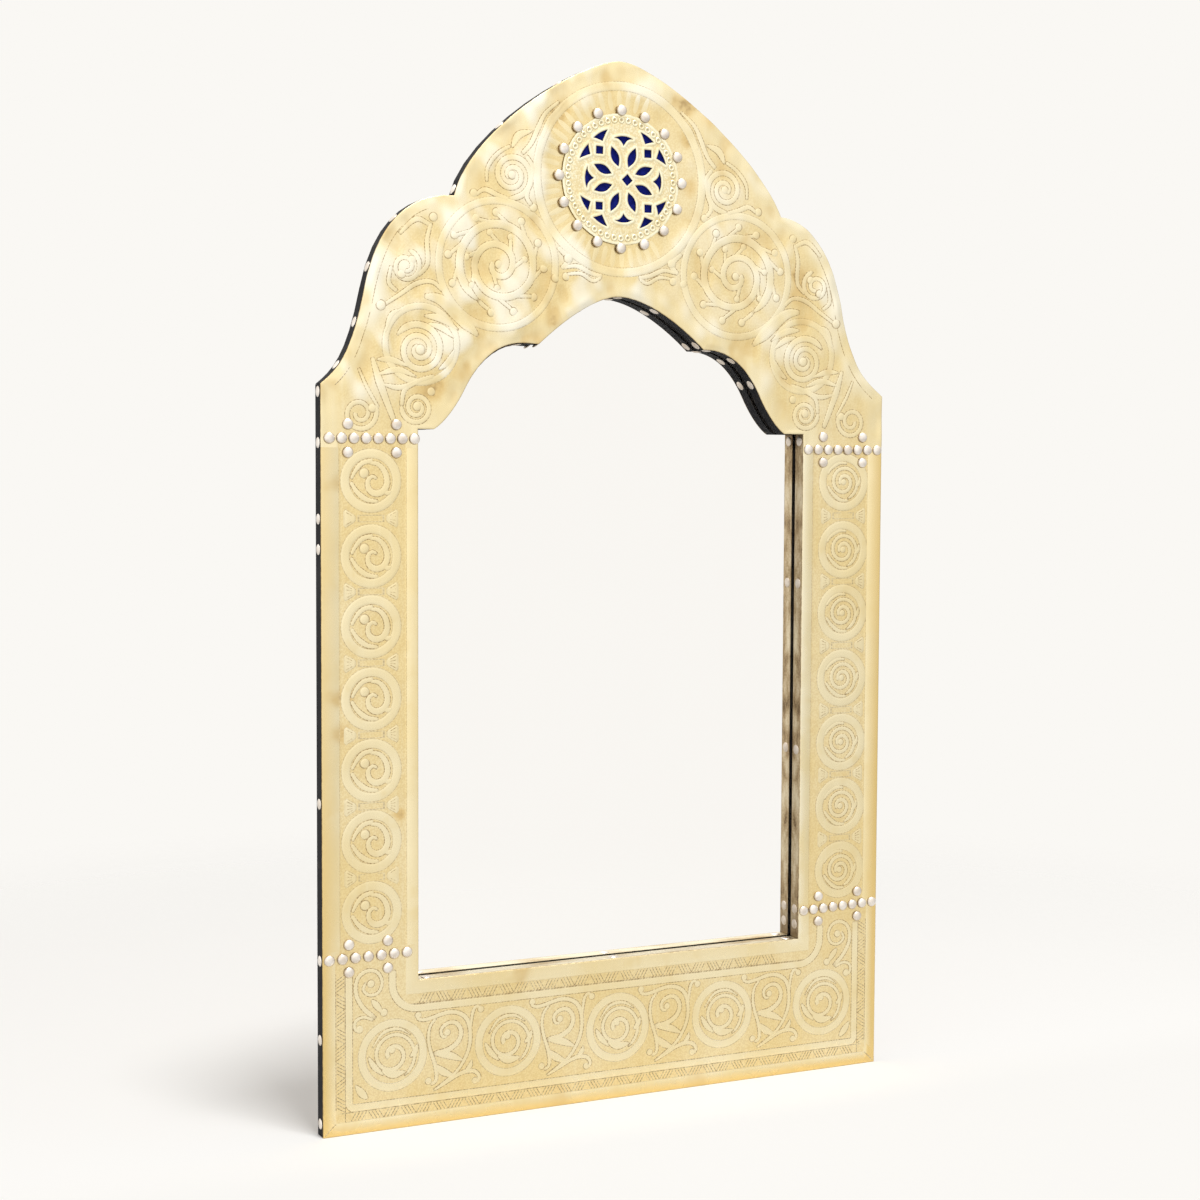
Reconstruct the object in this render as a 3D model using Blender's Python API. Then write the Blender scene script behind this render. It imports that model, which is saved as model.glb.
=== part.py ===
"""Wall mirror in a brass-clad board frame with an ogee crest, a pierced rosette and two ring hangers."""
import math

import bmesh
import bpy
from mathutils import Vector
from mathutils.geometry import interpolate_bezier

# Overall frame, in metres: X to the right, Y towards the wall, Z up from the bottom edge
FRAME_WIDTH = 0.598
FRAME_HEIGHT = 1.000
STILE_WIDTH = 0.0933
RAIL_HEIGHT = 0.138

# Crest outline: drops below the apex, and hand-cut distances from the middle or the side
NOTCH_SPAN = {"left": 0.1704, "right": 0.1777}
NOTCH_DROP = 0.1365
WAIST_INSET = {"left": 0.0418, "right": 0.0500}
WAIST_DROP = 0.224
SHOULDER_DROP = 0.311

# Opening outline: the ledge lies below the shoulder, and the arch rises from the ledge
LEDGE_BELOW_SHOULDER = 0.0395
LEDGE_WIDTH = {"left": 0.0157, "right": 0.0217}
HAUNCH_INSET = {"left": 0.0457, "right": 0.0505}
HAUNCH_RISE = 0.0365
CUSP_SPAN = {"left": 0.0845, "right": 0.0915}
CUSP_RISE = 0.081
ARCH_RISE = 0.1285

# Headings of the outlines in degrees from straight down, and handle pulls as shares of the chord
ACROSS = 90
CREST_ARCH_END, CREST_ARCH_PULLS = {"left": 14, "right": 25}, (0.169, 0.303)
WAIST_HEADING, LOBE_PULLS = 11.6, (0.06, 0.766)
SHOULDER_HEADING, FLARE_PULLS = 51, (0.658, 0.208)
ARCH_END, ARCH_PULLS = 48, (0.186, 0.516)
HAUNCH_HEADING, HAUNCH_PULLS = 27, (0.154, 0.65)
LEDGE_HEADING, LEDGE_PULLS = 60, (0.34, 0.256)
LONG_CURVE_STEPS = 12
SHORT_CURVE_STEPS = 8
SMOOTH_BELOW = 35

# Depths, counted from the wall plane at Y = 0 towards the front
SEAT_GAP = 0.0003
WELD_DISTANCE = 0.000002
CUTTER_REACH = 0.020
PANEL_THICKNESS = 0.012
POCKET_DEPTH = 0.009
POCKET_MARGIN = 0.012
CARD_THICKNESS = 0.0025
GLASS_THICKNESS = 0.003
BOARD_THICKNESS = 0.014
SHEET_THICKNESS = 0.0008
STRIP_THICKNESS = 0.0006
PANEL_LAP = 0.016
PANEL_CORNER_CUT = 0.014

# Dome headed nails and the seams that they close
NAIL_RADIUS = 0.0053
NAIL_HEIGHT = 0.0033
NAIL_SHANK_RADIUS = 0.0008
NAIL_BITE = 0.008
NAIL_SIDES = 10
DOME_STEPS = 3
SEAM_ROW_BELOW_LEDGE = 0.0115
SEAM_ROW_ABOVE_RAIL = 0.028
SEAM_MARGIN = 0.0006
SEAM_EDGE_MARGIN = 0.0006
CROSS_OFFSET = 0.0128
CROSS_GAP_FROM_END = 1.5
TOP_ROW_NAILS = {"left": 8, "right": 8}
BOTTOM_ROW_NAILS = {"left": 7, "right": 8}
NAIL_SINK = 0.0002
NAIL_RIM = 0.0004

# Pierced rosette
ROSETTE_RADIUS = 0.0618
ROSETTE_THICKNESS = 0.0008
ROSETTE_BEARING = 0.0065
ROSETTE_SIDES = 48
ROSETTE_NAILS = 16
NAIL_RING_OUTSIDE = 0.0032
BEAD_RING_HEIGHT = 0.0010
BEAD_STEPS = 4

# Bead ring and piercing, as shares of the rosette's radius, with angles in degrees
BEAD_RING_SHARE = 0.882
BEAD_HALF_SHARE = 0.0777
PIERCING_SHIFT_SHARE = 0.040
PETAL_COUNT = 8
PETAL_INNER_SHARE = 0.210
PETAL_OUTER_SHARE = 0.536
PETAL_HALF_SHARE = 0.066
PETAL_STEPS = 5
DIAMOND_HALF_SHARE = 0.094
DIAMOND_SHIFT_SHARE = 0.057
SQUARE_SHARE = 0.591
SQUARE_HALF_SHARE = 0.060
TRICORN_TIP_SHARE = 0.515
TRICORN_EDGE_SHARE = 0.660
TRICORN_HALF_ANGLE = 14.5
TRICORN_DROP_SHARE = 0.019
TRICORN_HOLLOW_SHARE = 0.024
TRICORN_HOLLOW_ANGLE = 5.8
TRICORN_STEPS = 4
THORN_SHARE = 0.790
THORN_NEAR_ANGLE = 4.5
THORN_FAR_ANGLE = 24.0
THORN_ROOT_SHARE = 0.668
THORN_ROOT_ANGLE = 12.0

# Ring hangers on the backs of the stiles
HANGER_BELOW_SHOULDER = 0.089
STRAP_WIDTH = 0.012
STRAP_THICKNESS = 0.0009
STRAP_LENGTH = 0.048
STRAP_SCREW_DROPS = (0.026, 0.040)
EYE_START_ANGLE = -90
EYE_END_ANGLE = 200
EYE_STEPS = 14
RING_WIRE_RADIUS = 0.0011
RING_HALF_WIDTH = 0.011
RING_CORNER_RADIUS = 0.003
RING_ARM = 0.006
RING_CORNER_STEPS = 4
RING_BOW_STEPS = 8
RING_WIRE_STEPS = 2

# Screws: the strap screws have pan heads, the panel screws are countersunk
SCREW_SIDES = 10
STRAP_SCREW_HEAD_RADIUS = 0.0035
STRAP_SCREW_HEAD_HEIGHT = 0.0018
STRAP_SCREW_SIDE_HEIGHT = 0.0009
STRAP_SCREW_CROWN_RADIUS = 0.00245
STRAP_SCREW_RADIUS = 0.0015
STRAP_SCREW_BITE = 0.010
PANEL_SCREW_HEAD_RADIUS = 0.0034
PANEL_SCREW_HEAD_HEIGHT = 0.0020
PANEL_SCREW_RADIUS = 0.0014
PANEL_SCREW_BITE = 0.009
PANEL_SCREWS_PER_SIDE = 3
PANEL_SCREW_END_MARGIN = 0.050

# Places worked out from the sizes above
HALF_WIDTH = FRAME_WIDTH / 2
OPENING_HALF = HALF_WIDTH - STILE_WIDTH
SHOULDER_Z = FRAME_HEIGHT - SHOULDER_DROP
LEDGE_Z = SHOULDER_Z - LEDGE_BELOW_SHOULDER
ARCH_Z = LEDGE_Z + ARCH_RISE
TOP_ROW_Z = LEDGE_Z - SEAM_ROW_BELOW_LEDGE
BOTTOM_ROW_Z = RAIL_HEIGHT + SEAM_ROW_ABOVE_RAIL
TOP_SEAM_Z = TOP_ROW_Z - NAIL_RADIUS - SEAM_MARGIN
BOTTOM_SEAM_Z = BOTTOM_ROW_Z + NAIL_RADIUS + SEAM_MARGIN
ROSETTE_Z = (ARCH_Z + FRAME_HEIGHT) / 2
EDGE_ALLOWANCE = STRIP_THICKNESS + SEAT_GAP
BOARD_HALF = HALF_WIDTH - EDGE_ALLOWANCE
BOARD_OPENING = OPENING_HALF + EDGE_ALLOWANCE
JOINT_Z = LEDGE_Z + EDGE_ALLOWANCE
RAIL_TOP_Z = RAIL_HEIGHT - EDGE_ALLOWANCE
POCKET_HALF = OPENING_HALF + POCKET_MARGIN
POCKET_BOTTOM_Z = RAIL_HEIGHT - POCKET_MARGIN
POCKET_TOP_Z = ARCH_Z + POCKET_MARGIN
PANEL_HALF = POCKET_HALF + PANEL_LAP
HANGER_X = (PANEL_HALF + BOARD_HALF) / 2
HANGER_Z = SHOULDER_Z - HANGER_BELOW_SHOULDER

# Depth planes worked out from the thicknesses
PANEL_FRONT = -PANEL_THICKNESS
POCKET_FLOOR = PANEL_FRONT + POCKET_DEPTH
CARD_BACK = POCKET_FLOOR - SEAT_GAP
CARD_FRONT = CARD_BACK - CARD_THICKNESS
GLASS_BACK = CARD_FRONT - SEAT_GAP
GLASS_FRONT = GLASS_BACK - GLASS_THICKNESS
BOARD_BACK = PANEL_FRONT - SEAT_GAP
BOARD_FRONT = BOARD_BACK - BOARD_THICKNESS
LAP_PLANE = (BOARD_BACK + BOARD_FRONT) / 2
SHEET_BACK = BOARD_FRONT - SEAT_GAP
SHEET_FRONT = SHEET_BACK - SHEET_THICKNESS
ROSETTE_BACK = SHEET_FRONT - SEAT_GAP
ROSETTE_FRONT = ROSETTE_BACK - ROSETTE_THICKNESS
CUT_FRONT = ROSETTE_FRONT - CUTTER_REACH
EYE_RADIUS = RING_WIRE_RADIUS + SEAT_GAP
STRAP_BACK = BOARD_BACK + SEAT_GAP + STRAP_THICKNESS
EYE_Y = STRAP_BACK + EYE_RADIUS

for old in list(bpy.data.objects):
    bpy.data.objects.remove(old, do_unlink=True)

# The origin lies on the wall plane, half way up the frame
wall_plane = bpy.data.objects.new("wall_plane", None)
wall_plane.location = (0, 0, -FRAME_HEIGHT / 2)
bpy.context.collection.objects.link(wall_plane)


def finish(name, colour, roughness, metallic):
    """One plain finish: a colour with its roughness and metallic value."""
    made = bpy.data.materials.new(name)
    made.use_nodes = True
    shader = made.node_tree.nodes["Principled BSDF"]
    shader.inputs["Base Color"].default_value = (*colour, 1)
    shader.inputs["Roughness"].default_value = roughness
    shader.inputs["Metallic"].default_value = metallic
    made.diffuse_color = (*colour, 1)
    return made


BRASS = finish("chased brass", (0.80, 0.66, 0.36), 0.35, 1.0)
PALE_BRASS = finish("pale brass", (0.86, 0.77, 0.50), 0.32, 1.0)
NICKEL = finish("nickel", (0.83, 0.80, 0.75), 0.25, 1.0)
BLACK_STRIP = finish("blackened strip", (0.035, 0.033, 0.035), 0.5, 0.0)
TARNISHED = finish("tarnished brass", (0.42, 0.33, 0.19), 0.5, 1.0)
PINE = finish("softwood", (0.62, 0.45, 0.27), 0.65, 0.0)
MIRROR = finish("mirror glass", (0.90, 0.91, 0.91), 0.02, 1.0)
CARD = finish("grey card", (0.50, 0.46, 0.40), 0.9, 0.0)
PLYWOOD = finish("plywood", (0.58, 0.42, 0.26), 0.7, 0.0)
FELT = finish("blue felt", (0.012, 0.028, 0.22), 0.95, 0.0)
STEEL = finish("zinc plated steel", (0.66, 0.66, 0.64), 0.35, 1.0)


def place(name, data, material, location=(0, 0, 0)):
    """Put a mesh or curve on the frame as one named piece."""
    piece = bpy.data.objects.new(name, data)
    if material:
        data.materials.append(material)
    piece.location = location
    piece.parent = wall_plane
    bpy.context.collection.objects.link(piece)
    return piece


def closed_mesh(name, bm, smooth=False):
    """Close a bmesh into a mesh with its faces pointing out."""
    bmesh.ops.remove_doubles(bm, verts=bm.verts, dist=WELD_DISTANCE)
    bmesh.ops.recalc_face_normals(bm, faces=bm.faces)
    mesh = bpy.data.meshes.new(name)
    bm.to_mesh(mesh)
    bm.free()
    if smooth:
        mesh.shade_smooth()
        mesh.set_sharp_from_angle(angle=math.radians(SMOOTH_BELOW))
    return mesh


def add_prism(bm, outline, front, back):
    """Extrude an outline of (x, z) points from one depth to another."""
    corners = [bm.verts.new((x, front, z)) for x, z in outline]
    face = bm.faces.new(corners)
    walls = bmesh.ops.extrude_face_region(bm, geom=[face])
    moved = [item for item in walls["geom"] if isinstance(item, bmesh.types.BMVert)]
    bmesh.ops.translate(bm, verts=moved, vec=(0, back - front, 0))


def prism(name, outline, front, back, material):
    bm = bmesh.new()
    add_prism(bm, outline, front, back)
    return place(name, closed_mesh(name, bm), material)


def add_turned(bm, profile, sides, centre):
    """Spin a profile of (radius, y) points round an axis along Y through the centre."""
    x, y, z = centre
    points = [bm.verts.new((x + radius, y + depth, z)) for radius, depth in profile]
    edges = [bm.edges.new(pair) for pair in zip(points, points[1:])]
    bmesh.ops.spin(bm, geom=points + edges, cent=centre, axis=(0, 1, 0),
                   angle=math.tau, steps=sides, use_merge=True)


def turned(name, profile, sides, centre, material):
    bm = bmesh.new()
    add_turned(bm, profile, sides, centre)
    return place(name, closed_mesh(name, bm, smooth=True), material)


def guide(name, bm):
    """A closed shape that only cuts or joins another piece."""
    shape = place(name, closed_mesh(name, bm), None)
    shape.hide_render = True
    shape.display_type = "WIRE"
    return shape


def combine(piece, shape, operation="DIFFERENCE"):
    modifier = piece.modifiers.new(shape.name, "BOOLEAN")
    modifier.object = shape
    modifier.operation = operation
    modifier.solver = "EXACT"


def rectangle(left, right, bottom, top):
    return [(left, bottom), (left, top), (right, top), (right, bottom)]


def heading(degrees):
    """Unit direction turned outwards from straight down."""
    angle = math.radians(degrees)
    return Vector((math.sin(angle), -math.cos(angle)))


def curve(start, start_heading, end, end_heading, pulls, steps):
    """A smooth stretch of outline between two points, without its first point."""
    chord = (end - start).length
    leave = start + heading(start_heading) * chord * pulls[0]
    arrive = end - heading(end_heading) * chord * pulls[1]
    return interpolate_bezier(start, leave, arrive, end, steps + 1)[1:]


def crest_half(side):
    """One half of the crest, drawn on the right: ogee arch, notch, lobe and flare to the shoulder."""
    apex = Vector((0, FRAME_HEIGHT))
    notch = Vector((NOTCH_SPAN[side], FRAME_HEIGHT - NOTCH_DROP))
    waist = Vector((HALF_WIDTH - WAIST_INSET[side], FRAME_HEIGHT - WAIST_DROP))
    shoulder = Vector((HALF_WIDTH, SHOULDER_Z))
    arch = curve(apex, ACROSS, notch, CREST_ARCH_END[side], CREST_ARCH_PULLS, LONG_CURVE_STEPS)
    lobe = curve(notch, ACROSS, waist, WAIST_HEADING, LOBE_PULLS, LONG_CURVE_STEPS)
    flare = curve(waist, WAIST_HEADING, shoulder, SHOULDER_HEADING, FLARE_PULLS, SHORT_CURVE_STEPS)
    return [apex] + arch + lobe + flare


def opening_half(side):
    """One half of the opening's head, drawn on the right: arch, cusp, haunch and the short ledge."""
    apex = Vector((0, ARCH_Z))
    cusp = Vector((CUSP_SPAN[side], LEDGE_Z + CUSP_RISE))
    haunch = Vector((OPENING_HALF - HAUNCH_INSET[side], LEDGE_Z + HAUNCH_RISE))
    ledge = Vector((OPENING_HALF - LEDGE_WIDTH[side], LEDGE_Z))
    arch = curve(apex, ACROSS, cusp, ARCH_END, ARCH_PULLS, LONG_CURVE_STEPS)
    lobe = curve(cusp, ACROSS, haunch, HAUNCH_HEADING, HAUNCH_PULLS, LONG_CURVE_STEPS)
    flare = curve(haunch, HAUNCH_HEADING, ledge, LEDGE_HEADING, LEDGE_PULLS, SHORT_CURVE_STEPS)
    return [apex] + arch + lobe + flare + [Vector((OPENING_HALF, LEDGE_Z))]


def ring(half, bottom):
    """Closed clockwise outline from the drawing of its halves, with two corners at the bottom."""
    left, right = half("left"), half("right")
    side = right[-1].x
    mirrored = [Vector((-point.x, point.y)) for point in reversed(left[1:])]
    return [Vector((-side, bottom))] + mirrored + right + [Vector((side, bottom))]


def inset(outline, distance):
    """Move a clockwise outline inwards by a mitred distance, or outwards if it is negative."""
    moved = []
    for index, point in enumerate(outline):
        before = (point - outline[index - 1]).normalized()
        after = (outline[(index + 1) % len(outline)] - point).normalized()
        normals = Vector((before.y, -before.x)), Vector((after.y, -after.x))
        both = normals[0] + normals[1]
        moved.append(point + both * distance / (1 + normals[0].dot(normals[1])))
    return moved


OUTER_RING = ring(crest_half, 0)
OPENING_RING = ring(opening_half, RAIL_HEIGHT)


def flat_boxes(name, boxes, front, back):
    """Guide of square boxes, given as rectangles in the frame's plane, between two depths."""
    bm = bmesh.new()
    for box in boxes:
        add_prism(bm, rectangle(*box), front, back)
    return guide(name, bm)


def boards():
    """Crest, stiles and rail, half lapped at the corners."""
    outer = inset(OUTER_RING, EDGE_ALLOWANCE)[1:-1]
    inner = inset(OPENING_RING, -EDGE_ALLOWANCE)[1:-1]
    legs = [(BOARD_HALF, JOINT_Z)], [(-BOARD_HALF, JOINT_Z)]
    outline = outer + legs[0] + inner[::-1] + legs[1]
    crest = prism("crest_board", outline, BOARD_FRONT, BOARD_BACK, PINE)
    lap_top = SHOULDER_Z - EDGE_ALLOWANCE
    pockets = [(-FRAME_WIDTH, -OPENING_HALF, 0, lap_top), (OPENING_HALF, FRAME_WIDTH, 0, lap_top)]
    combine(crest, flat_boxes("crest_lap_cutter", pockets, LAP_PLANE - SEAT_GAP, 0))
    stiles = []
    for side, name in ((-1, "left_stile"), (1, "right_stile")):
        edges = sorted((side * BOARD_OPENING, side * BOARD_HALF))
        box = rectangle(*edges, EDGE_ALLOWANCE, lap_top - SEAT_GAP)
        stile = prism(name, box, BOARD_FRONT, BOARD_BACK, PINE)
        span = (edges[0] - SEAT_GAP, edges[1] + SEAT_GAP)
        cheeks = [(*span, 0, RAIL_TOP_Z + SEAT_GAP), (*span, JOINT_Z - SEAT_GAP, FRAME_HEIGHT)]
        combine(stile, flat_boxes(name + "_lap_cutter", cheeks, BOARD_FRONT - SEAT_GAP, LAP_PLANE))
        stiles.append(stile)
    box = rectangle(-BOARD_HALF, BOARD_HALF, EDGE_ALLOWANCE, RAIL_TOP_Z)
    rail = prism("bottom_rail", box, BOARD_FRONT, BOARD_BACK, PINE)
    inner_end = BOARD_OPENING - SEAT_GAP
    ends = [(-FRAME_WIDTH, -inner_end, 0, RAIL_HEIGHT), (inner_end, FRAME_WIDTH, 0, RAIL_HEIGHT)]
    combine(rail, flat_boxes("rail_lap_cutter", ends, LAP_PLANE - SEAT_GAP, 0))
    return crest, stiles[0], stiles[1], rail


def glazing():
    """Mirror glass on a card, both in a pocket of the plywood panel behind the boards."""
    edges = (SEAT_GAP - POCKET_HALF, POCKET_HALF - SEAT_GAP)
    pane = rectangle(*edges, POCKET_BOTTOM_Z + SEAT_GAP, POCKET_TOP_Z - SEAT_GAP)
    prism("mirror_glass", pane, GLASS_FRONT, GLASS_BACK, MIRROR)
    prism("backing_card", pane, CARD_FRONT, CARD_BACK, CARD)
    bottom = POCKET_BOTTOM_Z - PANEL_LAP
    top = POCKET_TOP_Z + PANEL_LAP
    cut = PANEL_CORNER_CUT
    right = [(PANEL_HALF - cut, top), (PANEL_HALF, top - cut), (PANEL_HALF, bottom)]
    left = [(-x, z) for x, z in reversed(right)]
    panel = prism("back_panel", right + left, PANEL_FRONT, 0, PLYWOOD)
    pocket = (-POCKET_HALF, POCKET_HALF, POCKET_BOTTOM_Z, POCKET_TOP_Z)
    combine(panel, flat_boxes("pocket_cutter", [pocket], BOARD_BACK, POCKET_FLOOR))
    return panel


def strip(name, face, foot, material):
    """A thin edge strip between its visible face and its foot on the board, square at the ends."""
    face, foot = list(face), list(foot)
    start = (face[1] - face[0]).normalized() * SEAT_GAP
    end = (face[-2] - face[-1]).normalized() * SEAT_GAP
    for line in (face, foot):
        line[0] = line[0] + start
        line[-1] = line[-1] + end
    prism(name, face + foot[::-1], BOARD_FRONT, BOARD_BACK, material)


def strips_along(outline, foot_inset, corners):
    """Edge strips between the named corners of a closed outline."""
    foot = inset(outline, foot_inset)
    for name, first, last, material in corners:
        face_line = outline[first:last + 1] if last else [outline[first], outline[0]]
        foot_line = foot[first:last + 1] if last else [foot[first], foot[0]]
        strip(name, face_line, foot_line, material)


def edge_strips():
    """Blackened strips round the outside and the arch, and tarnished ones in the straight reveals."""
    last = len(OUTER_RING) - 1
    shoulder = 1 + SHORT_CURVE_STEPS + LONG_CURVE_STEPS
    outside = [
        ("left_edge_strip", 0, 1, BLACK_STRIP),
        ("left_shoulder_strip", 1, shoulder, BLACK_STRIP),
        ("crest_edge_strip", shoulder, last - shoulder, BLACK_STRIP),
        ("right_shoulder_strip", last - shoulder, last - 1, BLACK_STRIP),
        ("right_edge_strip", last - 1, last, BLACK_STRIP),
        ("bottom_edge_strip", last, 0, BLACK_STRIP),
    ]
    strips_along(OUTER_RING, STRIP_THICKNESS, outside)
    last = len(OPENING_RING) - 1
    haunch = 2 + SHORT_CURVE_STEPS + LONG_CURVE_STEPS
    inside = [
        ("left_reveal_strip", 0, 1, TARNISHED),
        ("left_haunch_strip", 1, haunch, BLACK_STRIP),
        ("arch_strip", haunch, last - haunch, BLACK_STRIP),
        ("right_haunch_strip", last - haunch, last - 1, BLACK_STRIP),
        ("right_reveal_strip", last - 1, last, TARNISHED),
        ("bottom_reveal_strip", last, 0, TARNISHED),
    ]
    strips_along(OPENING_RING, -STRIP_THICKNESS, inside)


def dome_profile(base, rim_radius, height):
    """Spherical cap from its rim at the base up to its top, which points to the front."""
    sphere = (rim_radius ** 2 + height ** 2) / (2 * height)
    spread = math.asin(rim_radius / sphere)
    angles = [spread * (1 - step / DOME_STEPS) for step in range(DOME_STEPS + 1)]
    rise = [sphere * (math.cos(angle) - math.cos(spread)) for angle in angles]
    return [(sphere * math.sin(angle), base - up) for angle, up in zip(angles, rise)]


def nail_row(side, count):
    """Places of a row of nails across a stile, from the opening to the outer edge."""
    sign = -1 if side == "left" else 1
    first = OPENING_HALF + NAIL_RADIUS + SEAM_EDGE_MARGIN
    step = (HALF_WIDTH - NAIL_RADIUS - SEAM_EDGE_MARGIN - first) / (count - 1)
    row = [sign * (first + step * index) for index in range(count)]
    crosses = [sign * (first + step * CROSS_GAP_FROM_END)]
    crosses.append(sign * (first + step * (count - 1 - CROSS_GAP_FROM_END)))
    return row, crosses


def nail_heads(name, places):
    """Guide of dome heads that stand on a sheet."""
    bm = bmesh.new()
    sunk = SHEET_FRONT + NAIL_SINK
    profile = [(0, sunk), (NAIL_RADIUS, sunk)]
    profile += dome_profile(SHEET_FRONT - NAIL_RIM, NAIL_RADIUS, NAIL_HEIGHT - NAIL_RIM)
    for x, z in places:
        add_turned(bm, profile, NAIL_SIDES, (x, 0, z))
    return guide(name, bm)


def nailed_sheet(name, outline, places):
    """Brass sheet with the nail heads that hold it fused on."""
    sheet = prism(name, outline, SHEET_FRONT, SHEET_BACK, BRASS)
    combine(sheet, nail_heads(name + "_nails", places), "UNION")
    return sheet


def sheets():
    """Four brass sheets, butted at the seams, with their rows and crosses of nails."""
    top_nails, bottom_nails = [], []
    stile_nails = {"left": [], "right": []}
    for side in ("left", "right"):
        row, crosses = nail_row(side, TOP_ROW_NAILS[side])
        top_nails += [(x, TOP_ROW_Z) for x in row] + [(x, TOP_ROW_Z + CROSS_OFFSET) for x in crosses]
        stile_nails[side] += [(x, TOP_ROW_Z - CROSS_OFFSET) for x in crosses]
        row, crosses = nail_row(side, BOTTOM_ROW_NAILS[side])
        bottom_nails += [(x, BOTTOM_ROW_Z) for x in row]
        bottom_nails += [(x, BOTTOM_ROW_Z - CROSS_OFFSET) for x in crosses]
        stile_nails[side] += [(x, BOTTOM_ROW_Z + CROSS_OFFSET) for x in crosses]
    top_edge = TOP_SEAM_Z + SEAT_GAP / 2
    outline = OUTER_RING[1:-1] + [(HALF_WIDTH, top_edge), (OPENING_HALF, top_edge)]
    outline += OPENING_RING[-2:0:-1] + [(-OPENING_HALF, top_edge), (-HALF_WIDTH, top_edge)]
    crest = nailed_sheet("crest_sheet", outline, top_nails)
    low, high = BOTTOM_SEAM_Z + SEAT_GAP / 2, TOP_SEAM_Z - SEAT_GAP / 2
    left = rectangle(-HALF_WIDTH, -OPENING_HALF, low, high)
    nailed_sheet("left_stile_sheet", left, stile_nails["left"])
    right = rectangle(OPENING_HALF, HALF_WIDTH, low, high)
    nailed_sheet("right_stile_sheet", right, stile_nails["right"])
    edge = BOTTOM_SEAM_Z - SEAT_GAP / 2
    leg = [(OPENING_HALF, RAIL_HEIGHT), (OPENING_HALF, edge), (HALF_WIDTH, edge), (HALF_WIDTH, 0)]
    outline = leg + [(-x, z) for x, z in reversed(leg)]
    nailed_sheet("bottom_sheet", outline, bottom_nails)
    return crest


def polar(share, degrees):
    """Point at a share of the rosette's radius and an angle from straight up, round the piercing's middle."""
    angle = math.radians(degrees)
    x = PIERCING_SHIFT_SHARE + share * math.sin(angle)
    return ROSETTE_RADIUS * x, ROSETTE_Z + ROSETTE_RADIUS * share * math.cos(angle)


def petal(degrees):
    """Almond between two arcs, along a radius."""
    length = PETAL_OUTER_SHARE - PETAL_INNER_SHARE
    outline = []
    for side in (1, -1):
        for step in range(PETAL_STEPS):
            share = step / PETAL_STEPS if side > 0 else 1 - step / PETAL_STEPS
            radius = PETAL_INNER_SHARE + length * share
            swell = side * PETAL_HALF_SHARE * math.sin(math.pi * share)
            outline.append(polar(radius, degrees + math.degrees(swell / radius)))
    return outline


def tricorn(degrees):
    """Curved triangle: an arc outside, hollow sides and a tip towards the middle."""
    spread = TRICORN_HALF_ANGLE
    corner = TRICORN_EDGE_SHARE - TRICORN_DROP_SHARE
    outline = []
    for step in range(TRICORN_STEPS + 1):
        turn = spread * (2 * step / TRICORN_STEPS - 1)
        drop = TRICORN_DROP_SHARE * (turn / spread) ** 2
        outline.append(polar(TRICORN_EDGE_SHARE - drop, degrees + turn))
    middle = (corner + TRICORN_TIP_SHARE) / 2
    hollow = polar(middle + TRICORN_HOLLOW_SHARE, degrees + TRICORN_HOLLOW_ANGLE)
    mirrored = polar(middle + TRICORN_HOLLOW_SHARE, degrees - TRICORN_HOLLOW_ANGLE)
    return outline + [hollow, polar(TRICORN_TIP_SHARE, degrees), mirrored]


def thorn(degrees, side):
    """Pointed triangle beside a diagonal."""
    near = polar(THORN_SHARE, degrees + side * THORN_NEAR_ANGLE)
    far = polar(THORN_SHARE, degrees + side * THORN_FAR_ANGLE)
    return [near, far, polar(THORN_ROOT_SHARE, degrees + side * THORN_ROOT_ANGLE)]


def square(centre, half_share):
    x, z = centre
    half = ROSETTE_RADIUS * half_share
    return rectangle(x - half, x + half, z - half, z + half)


def diamond(centre, half_share):
    x, z = centre
    half = ROSETTE_RADIUS * half_share
    return [(x, z + half), (x + half, z), (x, z - half), (x - half, z)]


def piercing_cutter(front, back):
    """All the openings of the rosette: petals, diamond, squares, tricorns and thorns."""
    step = 360 / PETAL_COUNT
    openings = [petal(step * (index + 0.5)) for index in range(PETAL_COUNT)]
    openings.append(diamond(polar(DIAMOND_SHIFT_SHARE, ACROSS), DIAMOND_HALF_SHARE))
    for quarter in range(4):
        openings.append(tricorn(90 * quarter))
        diagonal = 90 * quarter + 45
        openings.append(square(polar(SQUARE_SHARE, diagonal), SQUARE_HALF_SHARE))
        openings += [thorn(diagonal, side) for side in (1, -1)]
    bm = bmesh.new()
    for outline in openings:
        add_prism(bm, outline, front, back)
    return guide("piercing_cutter", bm)


def rosette_profile():
    """Disc with a half round bead ring near its rim, from the back to the front."""
    front, back = ROSETTE_FRONT, ROSETTE_BACK
    bead = []
    for step in range(BEAD_STEPS + 1):
        angle = math.pi * step / BEAD_STEPS
        share = BEAD_RING_SHARE + BEAD_HALF_SHARE * math.cos(angle)
        bead.append((ROSETTE_RADIUS * share, front - BEAD_RING_HEIGHT * math.sin(angle)))
    return [(0, back), (ROSETTE_RADIUS, back), (ROSETTE_RADIUS, front)] + bead + [(0, front)]


def hole_cutter(name, places, radius, sides, front, back):
    """Guide of round holes along Y, whose flats clear the radius."""
    bm = bmesh.new()
    reach = radius / math.cos(math.pi / sides)
    for x, z in places:
        add_turned(bm, [(0, front), (reach, front), (reach, back), (0, back)], sides, (x, 0, z))
    return guide(name, bm)


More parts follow.
